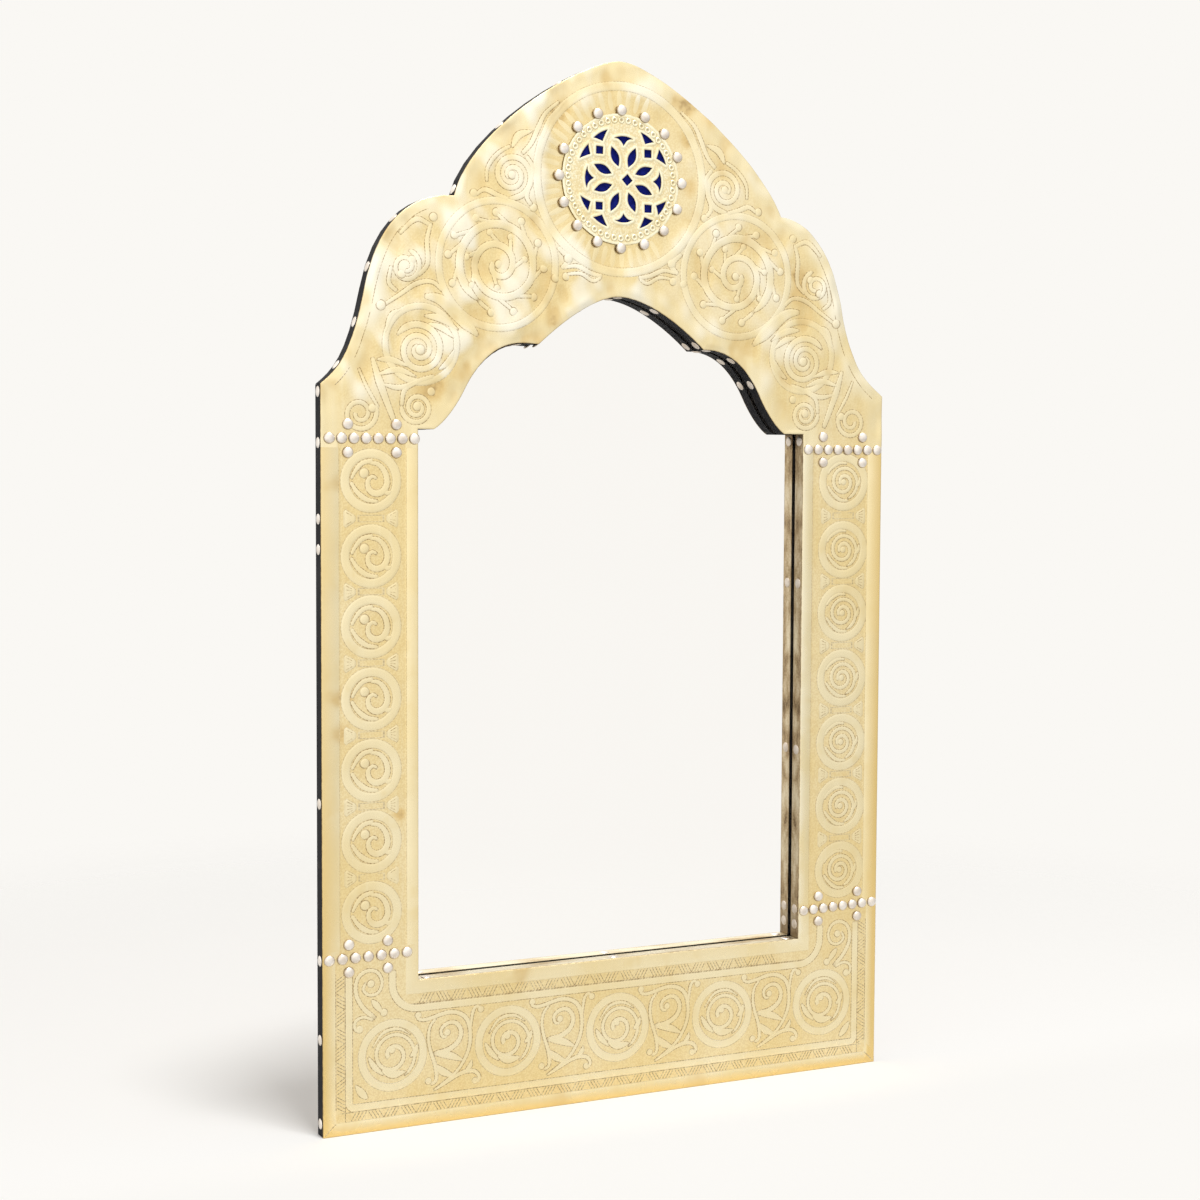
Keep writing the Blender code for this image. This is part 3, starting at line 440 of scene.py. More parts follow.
def clad(name, inner, outer, margins, rows, stains, pucker=0.0):
    """A sheet ruled between the opening's edge and the outer edge, rolled down over both.

    Rows run at fixed offsets from each edge, then evenly from one margin to the other. A stepped
    margin is plain up to its line and matted past it; without margins the matting fades in.
    """
    steps = [] if margins is None else [-0.0003, 0.0003]
    inner_rows = np.append(rim_offsets, [(margins or (0, 0))[0] + step for step in steps])
    outer_rows = np.append(rim_offsets, [(margins or (0, 0))[1] + step for step in steps])
    inward = beside(inner)
    outward = -beside(outer)
    near = inner[:, None] + inward[:, None] * inner_rows[:, None]
    far = (outer[:, None] + outward[:, None] * outer_rows[:, None])[:, ::-1]
    share = np.linspace(0, 1, rows + 2)[1:-1, None]
    middle = near[:, -1:] * (1 - share) + far[:, :1] * share
    plan = np.concatenate([near, middle, far], axis=1)
    x, z = plan[..., 0], plan[..., 1]
    from_inner = np.linalg.norm(plan - inner[:, None], axis=-1)
    from_outer = np.linalg.norm(plan - outer[:, None], axis=-1)
    if margins is None:
        smooth_plain = 1 - 0.75 * ease(np.minimum(from_inner * 1.1, from_outer), 0.010, 0.026)
        sunk = ease(np.minimum(from_inner, from_outer), 0.001, 0.008)
    else:
        from_inner = np.maximum(np.abs(x) - opening_half, rail_top - z)
        from_outer = np.minimum(half_width - np.abs(x), z)
        smooth_plain = np.where((from_inner > margins[0]) & (from_outer > margins[1]), 0.0, 1.0)
        sunk = 1 - smooth_plain
    from_seam = np.minimum(np.abs(z - low_seam), np.abs(z - high_seam))
    inside = np.minimum(np.abs(x) - opening_half - stile_margins[0],
                        half_width - stile_margins[1] - np.abs(x))
    beside_seam = 1 - ease(from_seam, 0, 0.010)
    smooth_plain += (np.where(inside > 0, 0.0, 1.0) - smooth_plain) * beside_seam
    sunk += (np.where(inside > 0, 1.0, 0.0) - sunk) * beside_seam
    columns = plan.shape[1]
    drop = np.zeros(columns)
    drop[:len(rim_drops)] = rim_drops
    drop[columns - len(rim_drops):] = rim_drops[::-1]
    run = np.linspace(0, 1, len(outer))[:, None]
    near_edge = np.exp(-(from_outer / 0.008) ** 2)
    gathers = np.sin(run * math.tau * 21) + 0.7 * np.sin(run * math.tau * 34 + 1.0)
    held = ease(np.minimum(from_inner, from_outer), 0, 0.007)
    waved = held * ripple(x, z) + pucker * near_edge * gathers
    front = sheet_front + matting_depth * sunk + waved + drop
    under_felt = np.clip((felt_hole - np.hypot(x, z - rosette_z)) / 0.005, 0, 1)
    front = np.minimum(front + under_felt * sheet_thickness, sheet_back - 0.00005)
    points = np.concatenate([np.stack([x, depth, z + bottom_z], axis=-1).reshape(-1, 3)
                             for depth in (front, np.full_like(x, sheet_back))])
    index = np.arange(x.size).reshape(x.shape)
    cell = [index[:-1, :-1], index[1:, :-1], index[1:, 1:], index[:-1, 1:]]
    quads = np.stack(cell, axis=-1).reshape(-1, 4)
    loop = np.concatenate([index[:-1, 0], index[-1, :-1], index[:0:-1, -1], index[0, :0:-1]])
    after = np.roll(loop, -1)
    rim = np.stack([loop, loop + x.size, after + x.size, after], axis=1)
    spots = np.array(stains)
    gap = np.hypot(x[..., None] - spots[:, 0], z[..., None] - spots[:, 1]) / spots[:, 2]
    stain_and_highlight_map = tone(x, z) + (spots[:, 3] * np.exp(-gap ** 2)).sum(-1)
    stain_and_highlight_map += 0.15 * np.exp(-(from_seam / 0.0012) ** 2)
    gilding = np.zeros_like(x)
    if margins is not None:
        by_edge = 1 - ease(from_outer, margins[1] - 0.006, margins[1])
        by_glass = 1 - ease(from_inner, margins[0] - 0.003, margins[0])
        rightwards = ease(x, 0.15, 0.25)
        gilding = by_edge * (1 - 0.45 * ease(z, 0.05, 0.5) + 0.3 * rightwards)
        gilding += by_glass * (0.2 - 0.2 * rightwards)
        # Along the glass towards the right the brass is painted paler.
        stain_and_highlight_map -= by_glass * rightwards * 0.45
    edge = np.zeros(columns)
    edge[:3] = edge[:-4:-1] = (1, 0.9, 0.5)
    edge = np.broadcast_to(edge, x.shape)
    over_both = {key: np.append(value.ravel(), np.full(x.size, back)) for key, value, back in (
        ("plain", smooth_plain, 0), ("stain", stain_and_highlight_map, 0), ("cut", edge, 1), ("gilt", gilding, 0))}
    piece = put(name + "_skin", points, [quads, quads[:, ::-1] + x.size, rim], chased, **over_both)
    piece.data.set_sharp_from_angle(angle=crisp)
    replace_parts(piece, name)


shoulder = (half_width, crest_top - 0.311)
ledge_z = shoulder[1] - 0.0395


def crest_edge(notch_span, waist_inset, arch_end):
    """Half of the crest's outer edge, from its point to the seam: arch, notch, lobe, waist and shoulder."""
    notch = (notch_span, crest_top - 0.1365)
    waist = (half_width - waist_inset, crest_top - 0.224)
    arch = bend((0, crest_top), 90, notch, arch_end, (0.169, 0.303))
    lobe = joined(bend(notch, 90, waist, 11.6, (0.06, 0.766)),
                  bend(waist, 11.6, shoulder, 51, (0.658, 0.208)))
    return joined(spaced(arch, 96), spaced(lobe, 104), spaced([shoulder, (half_width, high_seam)], 20))


def arch_edge(cusp_span, haunch_inset, ledge_width):
    """Half of the opening's edge, from the arch's point to the seam: arch, cusp, haunch and ledge."""
    cusp = (cusp_span, ledge_z + 0.081)
    haunch = (opening_half - haunch_inset, ledge_z + 0.0365)
    ledge_end = (opening_half - ledge_width, ledge_z)
    ledge_root = (opening_half, ledge_z)
    arch = bend((0, ledge_z + 0.1285), 90, cusp, 48, (0.186, 0.516))
    lobe = joined(bend(cusp, 90, haunch, 27, (0.154, 0.65)),
                  bend(haunch, 27, ledge_end, 60, (0.34, 0.256)))
    return joined(spaced(arch, 96), spaced(lobe, 92), spaced([ledge_end, ledge_root], 12),
                  spaced([ledge_root, (opening_half, high_seam)], 20))


crest_outer = both_sides(crest_edge(0.1777, 0.0500, 25), crest_edge(0.1704, 0.0418, 14))
crest_inner = both_sides(arch_edge(0.0915, 0.0505, 0.0217), arch_edge(0.0845, 0.0457, 0.0157))
crest_stains = [(-0.196, 0.690, 0.020, 0.6), (-0.165, 0.700, 0.016, 0.6), (-0.100, 0.742, 0.014, 0.6),
                (-0.070, 0.752, 0.010, 0.8), (-0.285, 0.690, 0.012, 0.6), (-0.064, 0.945, 0.014, 0.4),
                (0.062, 0.968, 0.020, 0.5), (0.095, 0.952, 0.016, 0.6), (0.071, 0.932, 0.012, 0.6),
                (0.076, 0.884, 0.010, 0.6), (0.019, 0.961, 0.010, 0.4), (-0.003, 0.988, 0.013, 0.5),
                (0.118, 0.920, 0.016, 0.4), (0.195, 0.805, 0.018, 0.4), (0.011, 0.797, 0.008, 0.6),
                (0.100, 0.735, 0.010, 0.5), (-0.050, 0.798, 0.008, 0.5)]
at_left_haunch = np.exp(-((crest_inner[:, :1] + 0.117) / 0.020) ** 2) * (crest_inner[:, 1:] > ledge_z + 0.04)
crest_cut = crest_inner + beside(crest_inner) * 0.0012 * at_left_haunch
clad("crest_sheet", crest_cut, crest_outer, None, 84, crest_stains, pucker=0.00022)

stile_run = np.linspace(low_seam, high_seam, 180)
for side, name, stains in (
        (-1, "left_stile_sheet", [(-0.277, 0.404, 0.010, 0.9), (-0.279, 0.372, 0.010, 0.8),
                                  (-0.224, 0.295, 0.006, 0.9), (-0.281, 0.600, 0.012, 0.4)]),
        (1, "right_stile_sheet", [(0.270, 0.300, 0.02, 0.3), (0.215, 0.236, 0.012, 0.3)])):
    run = stile_run if side < 0 else stile_run[::-1]
    inner = np.stack([np.full_like(run, side * opening_half), run], axis=1)
    outer = np.stack([np.full_like(run, side * half_width), run], axis=1)
    clad(name, inner, outer, stile_margins, 26, stains)

inner_corner, outer_corner = (opening_half, rail_top), (half_width, 0)
leg_steps, span_steps = 16, 110
bottom_inner = both_sides(joined(
    spaced([(0, rail_top), inner_corner], span_steps),
    spaced([inner_corner, (opening_half, low_seam)], leg_steps)))[::-1]
bottom_outer = both_sides(joined(
    spaced([(0, 0), outer_corner], span_steps),
    spaced([outer_corner, (half_width, low_seam)], leg_steps)))[::-1]
clad("bottom_sheet", bottom_inner, bottom_outer, (0.0125, 0.0120), 44,
     [(-0.06, 0.004, 0.02, 0.4), (-0.10, 0.134, 0.012, 0.6), (0.09, 0.005, 0.02, 0.4)])

# Stile ornament
# Seven roundels up each stile, raised from the ground by punching it down round them, each with a scroll.
# Between roundels sit a sunk bar and two fan leaves. Every edge is traced with a dotted tracer line.
strap_section = np.array([
    (-1, -0.0005, -0.0003, 1), (-1, -0.0005, 0.00003, 1), (-1, 0, 0.00004, 0.9), (-1, 0.0004, 0.00012, 0),
    (-0.4, 0, 0.00016, 0), (0.4, 0, 0.00016, 0), (1, -0.0004, 0.00012, 0), (1, 0, 0.00004, 0.9),
    (1, 0.0005, 0.00003, 1), (1, 0.0005, -0.0003, 1)])
soft_strap = strap_section * [1, 1, 1, 0.6]
stroke_section = np.array([
    (-1, 0, -0.0003, 0), (-1, 0, 0.00003, 0.2), (-0.4, 0, 0.00005, 1), (0.4, 0, 0.00005, 1),
    (1, 0, 0.00003, 0.2), (1, 0, -0.0003, 0)])


def carry(paths, widths, section=strap_section, lift=0.0, closed=False):
    """Carry a cross-section along each of several paths in the frame's plane.

    A section point lies beside its path by a share of the half width plus an offset, and stands off the
    ground by its height, so a strap follows every wave of the sheet under it. The ends of a path of
    more than four points narrow and run out into the ground.
    """
    paths = np.asarray(paths, float)
    paths = paths[None] if paths.ndim == 2 else paths
    ahead = np.roll(paths, -1, axis=1) - np.roll(paths, 1, axis=1)
    if not closed:
        ahead[:, 0] = paths[:, 1] - paths[:, 0]
        ahead[:, -1] = paths[:, -1] - paths[:, -2]
    ahead /= np.linalg.norm(ahead, axis=-1)[..., None]
    aside = np.stack([-ahead[..., 1], ahead[..., 0]], axis=-1)
    share, offset, height, cut = section.T
    taper = np.ones((paths.shape[1], 1))
    if not closed and len(taper) > 4:
        taper[[0, -1]] = 0.25
    half = np.broadcast_to(widths, paths.shape[:2]) / 2 * (taper[:, 0] + 1) / 2
    plan = paths[..., None, :] + (half[..., None] * share + offset)[..., None] * aside[..., None, :]
    depth = ground_y(plan[..., 0], plan[..., 1]) - np.where(height > 0, (height + lift) * taper, height)
    points = np.stack([plan[..., 0], depth, plan[..., 1] + bottom_z], axis=-1)
    index = np.arange(depth.size).reshape(depth.shape)
    here, there = (index, np.roll(index, -1, axis=1)) if closed else (index[:, :-1], index[:, 1:])
    cell = [here, there, np.roll(there, -1, axis=2), np.roll(here, -1, axis=2)]
    faces = [np.stack(cell, axis=-1).reshape(-1, 4)]
    if not closed:
        faces += [index[:, 0], index[:, -1, ::-1]]
    step = np.linalg.norm(np.diff(paths, axis=1), axis=-1)
    run = np.concatenate([np.zeros((len(paths), 1)), np.cumsum(step, axis=1)], axis=1)
    cut = np.maximum(cut, np.where(taper < 1, 0.5 * cut.max(), 0))
    values = [np.broadcast_to(value, depth.shape).ravel() for value in (cut, run[..., None])]
    return points.reshape(-1, 3), faces, *values


def rings(centres, radius, width, steps=56):
    """Closed straps at one radius round each centre."""
    angle = np.linspace(0, math.tau, steps, endpoint=False)
    round_it = np.stack([np.cos(angle), np.sin(angle)], axis=1) * radius
    return carry(np.asarray(centres)[:, None] + round_it, width, soft_strap, closed=True)


def spirals(centres, radii, turns, first, widths, steps=64, lift=0.00003):
    """Straps whose radius runs through some values at even turns; negative turns go clockwise."""
    share = np.linspace(0, 1, steps)
    angle = math.radians(first) + math.tau * turns * share
    radius = np.interp(share, np.linspace(0, 1, len(radii)), radii)
    round_it = np.stack([np.cos(angle), np.sin(angle)], axis=1) * radius[:, None]
    width = np.interp(share, [0, 0.03, 1], [0.3 * widths[0], *widths])
    return carry(np.asarray(centres)[:, None] + round_it, width, lift=lift)


def through(points, steps=28):
    """Smooth path through points: cubics between neighbours, with the chord across each point as slope."""
    points = np.asarray(points, float)
    slope = np.gradient(points, axis=0)
    at = np.linspace(0, len(points) - 1, steps)
    first = np.minimum(at.astype(int), len(points) - 2)
    t = (at - first)[:, None]
    ends = points[first], points[first + 1], slope[first], slope[first + 1]
    weights = (2 * t ** 3 - 3 * t ** 2 + 1, 3 * t ** 2 - 2 * t ** 3,
               t ** 3 - 2 * t ** 2 + t, t ** 3 - t ** 2)
    return sum(weight * end for weight, end in zip(weights, ends))


def placed(path, centres, side=1):
    """Copies of a path, given in millimetres, about each centre, turned left for right by a negative side."""
    return np.asarray(centres)[:, None] + path * [0.001 * side, 0.001]


def tendril(points, widths, centres, side=1, lift=0.00005):
    """A strap through points in millimetres, its width going evenly from the first value to the last."""
    path = through(points)
    share = np.linspace(0, 1, len(path))
    width = 0.001 * np.interp(share, np.linspace(0, 1, len(widths)), widths)
    return carry(placed(path, centres, side), width, lift=lift)


def leaf(points, width, centres, side=1, lift=0.00007):
    """A blade through points in millimetres, swelling as a half sine between its tips."""
    path = through(points, 18)
    swell = np.sin(np.linspace(0.07, 0.96, len(path)) * math.pi)
    return carry(placed(path, centres, side), 0.001 * width * swell, lift=lift)


def strokes(starts, ends, width, lift=0.0, dark=1.0):
    """Short tracer cuts, each a straight groove between two raised lips, dark with grime to some degree."""
    return carry(np.stack([starts, ends], axis=1), width, stroke_section * [1, 1, 1, dark], lift)


def forward(count):
    """Directions that all face the front."""
    return np.tile([0.0, -1.0, 0.0], (count, 1))


def domes(centres, outward, radii, profile, sides=12, cut=None):
    """Turned heads: a profile of radius and height shares is spun about each centre's outward direction."""
    centres, outward = np.asarray(centres, float), np.asarray(outward, float)
    across = np.cross(outward, np.where(np.abs(outward[:, :1]) > 0.9, [[0, 0, 1.0]], [[1.0, 0, 0]]))
    across /= np.linalg.norm(across, axis=1)[:, None]
    upward = np.cross(outward, across)
    angle = np.arange(sides) / sides * math.tau
    spin = np.cos(angle)[:, None] * across[:, None] + np.sin(angle)[:, None] * upward[:, None]
    reach, height = np.asarray(profile, float).T
    size = np.broadcast_to(radii, len(centres))[:, None, None, None]
    wall = spin[:, None] * reach[:-1, None, None] + outward[:, None, None] * height[:-1, None, None]
    wall = (centres[:, None, None] + wall * size).reshape(len(centres), -1, 3)
    tip = (centres + outward * height[-1] * size[:, 0, 0])[:, None]
    points = np.concatenate([wall, tip], axis=1)
    count = points.shape[1]
    index = np.arange(count - 1).reshape(-1, sides)
    after = np.roll(index, -1, axis=1)
    starts = (np.arange(len(centres)) * count)[:, None, None]
    quads = np.stack([index[:-1], after[:-1], after[1:], index[1:]], axis=-1).reshape(1, -1, 4) + starts
    caps = np.stack([index[-1], after[-1], np.full(sides, count - 1)], axis=-1)[None] + starts
    feet = index[0][None, None, ::-1] + starts
    faces = [quads.reshape(-1, 4), caps.reshape(-1, 3), feet.reshape(-1, sides)]
    cuts = np.append(np.repeat(cut[:-1], sides), cut[-1]) if cut else np.zeros(count)
    cuts = np.tile(cuts, len(centres))
    return points.reshape(-1, 3), faces, cuts, np.zeros(len(cuts))


boss_profile = [(1.14, -0.06), (1.14, 0.012), (1, 0.016), (0.85, 0.05), (0.45, 0.080), (0, 0.088)]
boss_cut = [1, 1, 0.85, 0, 0, 0]


def bosses(places, radius, side=1, centres=((0, 0),)):
    """Round punched knobs, at places in millimetres about each centre."""
    plan = placed(np.asarray(places, float), centres, side).reshape(-1, 2)
    depth = ground_y(plan[:, 0], plan[:, 1])
    spots = np.stack([plan[:, 0], depth, plan[:, 1] + bottom_z], axis=1)
    return domes(spots, forward(len(spots)), 0.001 * radius, boss_profile, 12, boss_cut)


def chasing(name, parts, material=chased, slot="chased_brass"):
    """One piece of raised work from its straps, blades, cuts and knobs, all of them plain metal."""
    starts = np.cumsum([0] + [len(part[0]) for part in parts])
    faces = [group + start for part, start in zip(parts, starts) for group in part[1]]
    points, cut, run = (np.concatenate([part[key] for part in parts]) for key in (0, 2, 3))
    # The raised work takes the same ochre patina and painted highlight as the sheet under it.
    patina_and_highlight = tone(points[:, 0], points[:, 2] - bottom_z)
    piece = put(name, points, faces, material, slot=slot, cut=cut, along=run,
                plain=np.ones(len(points)), stain=patina_and_highlight)
    piece.data.set_sharp_from_angle(angle=crisp)


stile_heights = np.array([0.2055, 0.2712, 0.3370, 0.4028, 0.4690, 0.5335, 0.6020])
for side, name, middle in ((-1, "left_stile_chasing", 0.2515), (1, "right_stile_chasing", 0.2538)):
    centres = np.stack([np.full(7, side * middle), stile_heights], axis=1)
    gaps = (centres[:-1] + centres[1:]) / 2
    parts = [rings(centres, 0.0249, 0.0082)]
    if side < 0:
        parts += [
            tendril([(-19.5, -1), (-13, -10.5), (-4, -17), (7, -19)], (3, 5.2, 3), centres),
            tendril([(-19, 1.5), (-14.5, 9.5), (-8, 16), (2, 18.5)], (2.5, 4.5, 4), centres),
            tendril([(-2, 16.5), (7, 15), (13.5, 8), (15.5, -2), (11.5, -9.5), (4, -11.5), (-2, -7.5),
                     (-3, 0), (1.5, 4), (6, 1.5)], (3, 5, 6.2, 6, 4, 2.5), centres, lift=0.00009),
            leaf([(11, -8), (16, -11), (20, -9)], 4.5, centres),
            bosses([(-6.5, 7)], 4.6, centres=centres)]
    else:
        parts += [
            spirals(centres, (0.0175, 0.0035), 1.8, -75, (0.0036, 0.0040)),
            tendril([(-19, -4), (-12.5, -12), (-4, -18), (6, -19)], (2.5, 4.2, 2.5), centres),
            tendril([(-19, 8), (-14, 14), (-5, 19), (4, 19)], (2, 3.5, 2.5), centres),
            leaf([(13, -6), (18, -1), (19.5, 6)], 4, centres),
            bosses([(0, 0)], 3.2, centres=centres)]
    for hand in (-1, 1):
        fan = placed(np.linspace((14.5, 0), (26.5, 0), 7), gaps, hand)
        parts.append(carry(fan, np.linspace(0.005, 0.0185, 7), soft_strap))
        for spread in (-0.33, -0.11, 0.11, 0.33):
            parts.append(strokes(gaps + [hand * 0.0185, spread * 0.008],
                                 gaps + [hand * 0.0240, spread * 0.017], 0.0012, 0.00011, 0.7))
        parts.append(strokes(gaps + [hand * 0.012, -0.0033], gaps + [hand * 0.012, 0.0033], 0.0022, dark=0.6))
    for level in (-0.0030, 0.0030):
        parts.append(strokes(gaps + [-0.011, level], gaps + [0.011, level], 0.0010, dark=0.6))
    lines = np.array([opening_half + stile_margins[0], half_width - stile_margins[1]]) * side
    foot, head = (np.stack([lines, [level] * 2], 1) for level in (low_seam + 0.006, high_seam - 0.006))
    parts.append(carry(np.linspace(foot, head, 90, axis=1), 0.0011, stroke_section))
    chasing(name, parts)

# Bottom ornament
# Five roundels in a row with scrolled tendrils crossing between them, inside raised fillets.
# Bands of slanting cuts, in fours that lean by turns, run round the outside and under the opening.
whole = [(0, 0)]
roundel_step = 0.1164
roundel_z = 0.0698
row = np.stack([roundel_step * np.arange(-2, 3) + 0.0015, np.full(5, roundel_z)], axis=1)
between = np.stack([(row[:-1, 0] + row[1:, 0]) / 2, np.zeros(4)], axis=1)
parts = [
    rings(row, 0.0302, 0.0072),
    spirals(row, (0.0235, 0.0042), 1.75, -62, (0.0030, 0.0044)),
    leaf([(-24, 1), (-18, -9), (-9, -18)], 5.5, row),
    leaf([(-11, -13), (0, -18), (13, -17)], 7.5, row),
    leaf([(17, -4), (22, 1), (24.5, 8)], 5, row),
    leaf([(-20, 9), (-9, 22), (6, 24), (18, 17)], 3.2, row),
    bosses([(-1, 5)], 3.4, centres=row),
    tendril([(-33, 104), (-33, 101), (-27, 99.5), (-18, 101), (-5, 104), (6, 103), (15, 97), (19, 86),
             (19, 72), (15, 60), (7, 48), (-5, 39), (-18, 31.5)], (2.6, 3.6, 4.2, 3.4, 2.4), between),
    tendril([(29, 106), (25, 106.5), (22, 102), (20.5, 94), (19, 82)], (2.6, 3.2, 2.4), between, lift=0.0001),
    tendril([(-15, 100), (-21, 93), (-23, 82), (-21, 70), (-17, 58), (-15, 47), (-16, 40), (-21, 37.5)],
            (2.4, 3.2, 3.6, 2.8), between, lift=0.00008),
    tendril([(-18, 66), (-4, 68), (7, 75), (10, 85), (5, 93), (-3, 94), (-10, 89), (-9, 82), (-4, 81)],
            (5.5, 4.4, 3.6, 2.6), between, lift=0.00011),
    tendril([(-18, 31.5), (-6, 37), (6, 43), (15, 45.5), (24, 44.5), (28.5, 39), (26.5, 34)], (2.4, 4.2, 3),
            between, lift=0.00012),
    leaf([(-17, 66), (-2, 63), (13, 56)], 7, between),
    leaf([(-17, 56), (-8, 48), (4, 42)], 7, between),
    leaf([(14, 46), (19, 50), (21, 56)], 4.5, between),
    bosses([(-33, 104.5), (30, 103.5), (-23, 41), (-4, 85), (24.3, 35.5)], 3.2, centres=between)]
for side in (-1, 1):
    parts += [
        tendril([(248, 106), (260, 117), (267, 131), (265.5, 145), (256, 151.5), (246, 149), (241.5, 139),
                 (245.5, 130), (254, 128.5), (260, 134), (257, 141)], (4.5, 3.6, 3, 2.6), whole, side),
        tendril([(250, 105), (260, 108.5), (267.5, 105.5), (268, 98), (263, 95)], (2.6, 3, 2.6), whole, side),
        leaf([(252, 124), (247, 118), (241, 110)], 6, whole, side),
        leaf([(256, 31.5), (262, 38), (268, 46)], 7, whole, side),
        bosses([(252.5, 139), (263.5, 97.5), (240, 111)], 3.6, side)]
outer_line, inner_line, fillet_top, fillet_bend = 0.2738, 0.2315, 0.150, 0.025
fillet_low, fillet_high, fillet_width = 0.0246, 0.1115, 0.0068
corner = np.array([(0, fillet_low), (outer_line - 0.003, fillet_low), (outer_line, fillet_low + 0.003),
                   (outer_line, fillet_top)])
parts.append(carry(spaced(both_sides(corner), 320), fillet_width))
turn = np.linspace(0, math.pi / 2, 24)
arc = np.stack([inner_line - fillet_bend + fillet_bend * np.sin(turn),
                fillet_high + fillet_bend * (1 - np.cos(turn))], axis=1)
rise = joined(np.array([(0, fillet_high), arc[0]]), arc, np.array([arc[-1], (inner_line, fillet_top)]))
parts.append(carry(spaced(both_sides(rise), 320), fillet_width))
lean = 0.0048
four = 0.0034 * np.arange(4)
feet = np.concatenate([four, 0.0215 + four])
heads = np.concatenate([four + lean, 0.0215 - lean + four])
for low, high, reach in ((0.0120, 0.0208, 0.272), (0.1158, 0.1256, 0.205)):
    repeats = np.arange(-reach, reach - 0.03, 0.032)[:, None]
    foot, head = (repeats + feet).ravel(), (repeats + heads).ravel()
    parts.append(strokes(np.stack([foot, np.full_like(foot, low + 0.0006)], 1),
                         np.stack([head, np.full_like(head, high - 0.0006)], 1), 0.0010))
    edges = np.array([[(-reach - 0.012, level), (reach + 0.012, level)] for level in (low, high)])
    parts.append(carry(np.linspace(edges[:, 0], edges[:, 1], 160, axis=1), 0.0010, stroke_section))
repeats = np.arange(0.022, 0.140, 0.032)[:, None]
foot, head = (repeats + feet).ravel(), (repeats + heads).ravel()
for side in (-1, 1):
    parts.append(strokes(np.stack([np.full_like(foot, side * 0.2782), foot], 1),
                         np.stack([np.full_like(head, side * 0.2858), head], 1), 0.0010))
    edges = np.array([[(side * line, 0.012), (side * line, 0.152)] for line in (0.2775, 0.2865)])
    parts.append(carry(np.linspace(edges[:, 0], edges[:, 1], 50, axis=1), 0.0010, stroke_section))
    parts.append(strokes([(side * 0.2970, 0.0020)], [(side * 0.2870, 0.0115)], 0.0009, 0.00023))
chasing("bottom_chasing", parts)

# Crest ornament
# A big crocketed scroll in a ring fills each lobe, with smaller scrolls, leaves and knobs to the edges.
# A plain ring runs round the rosette, and the sheet is softly fluted between the two where it was drawn in.
fold_section = np.array([(-1, 0, -0.0003, 0), (-1, 0, 0, 0), (-0.6, 0, 0.00004, 0), (0, 0, 0.00007, 0),
                         (0.6, 0, 0.00004, 0), (1, 0, 0, 0), (1, 0, -0.0003, 0)])
flute_angle = np.radians(np.linspace(150, 380, 33))
spokes = np.stack([np.sin(flute_angle), np.cos(flute_angle)], axis=1)[:, None]
flute_run = np.linspace(0.0650, 0.0832, 9)[:, None]
flute_swell = 0.0052 * np.sin(np.linspace(0.22, 0.8, 9) * math.pi)
parts = [rings([(0, rosette_z)], 0.0878, 0.0082, 120),
         carry(spokes * flute_run + [0, rosette_z], flute_swell, fold_section)]
big_scroll = np.array([39, 37.5, 35.5, 24, 17.5, 12.5, 4])
crook = np.array([118, 92, 60, 28, -2, -38, -70, -98, 150, 172, 203])
knob_reach = np.array([47, 48, 47, 46, 47, 46.5, 46, 45, 50, 50, 49])
inner_crook = np.array([105, 63, 12, 170, 218, 268])


def coil(degrees, turn):
    """Radius in millimetres of a turn of the big scroll, which starts at 240 degrees and goes clockwise."""
    return np.interp(((240 - degrees) % 360 / 360 + turn) / 2.2 * 6, range(7), big_scroll)


inner_reach = 0.4 * coil(inner_crook, 1) + 0.6 * coil(inner_crook, 0)


def one_side(side, x, z):
    """A centre from millimetres off the middle line, to a side, and above the bottom edge."""
    return [(side * x * 0.001, z * 0.001)]


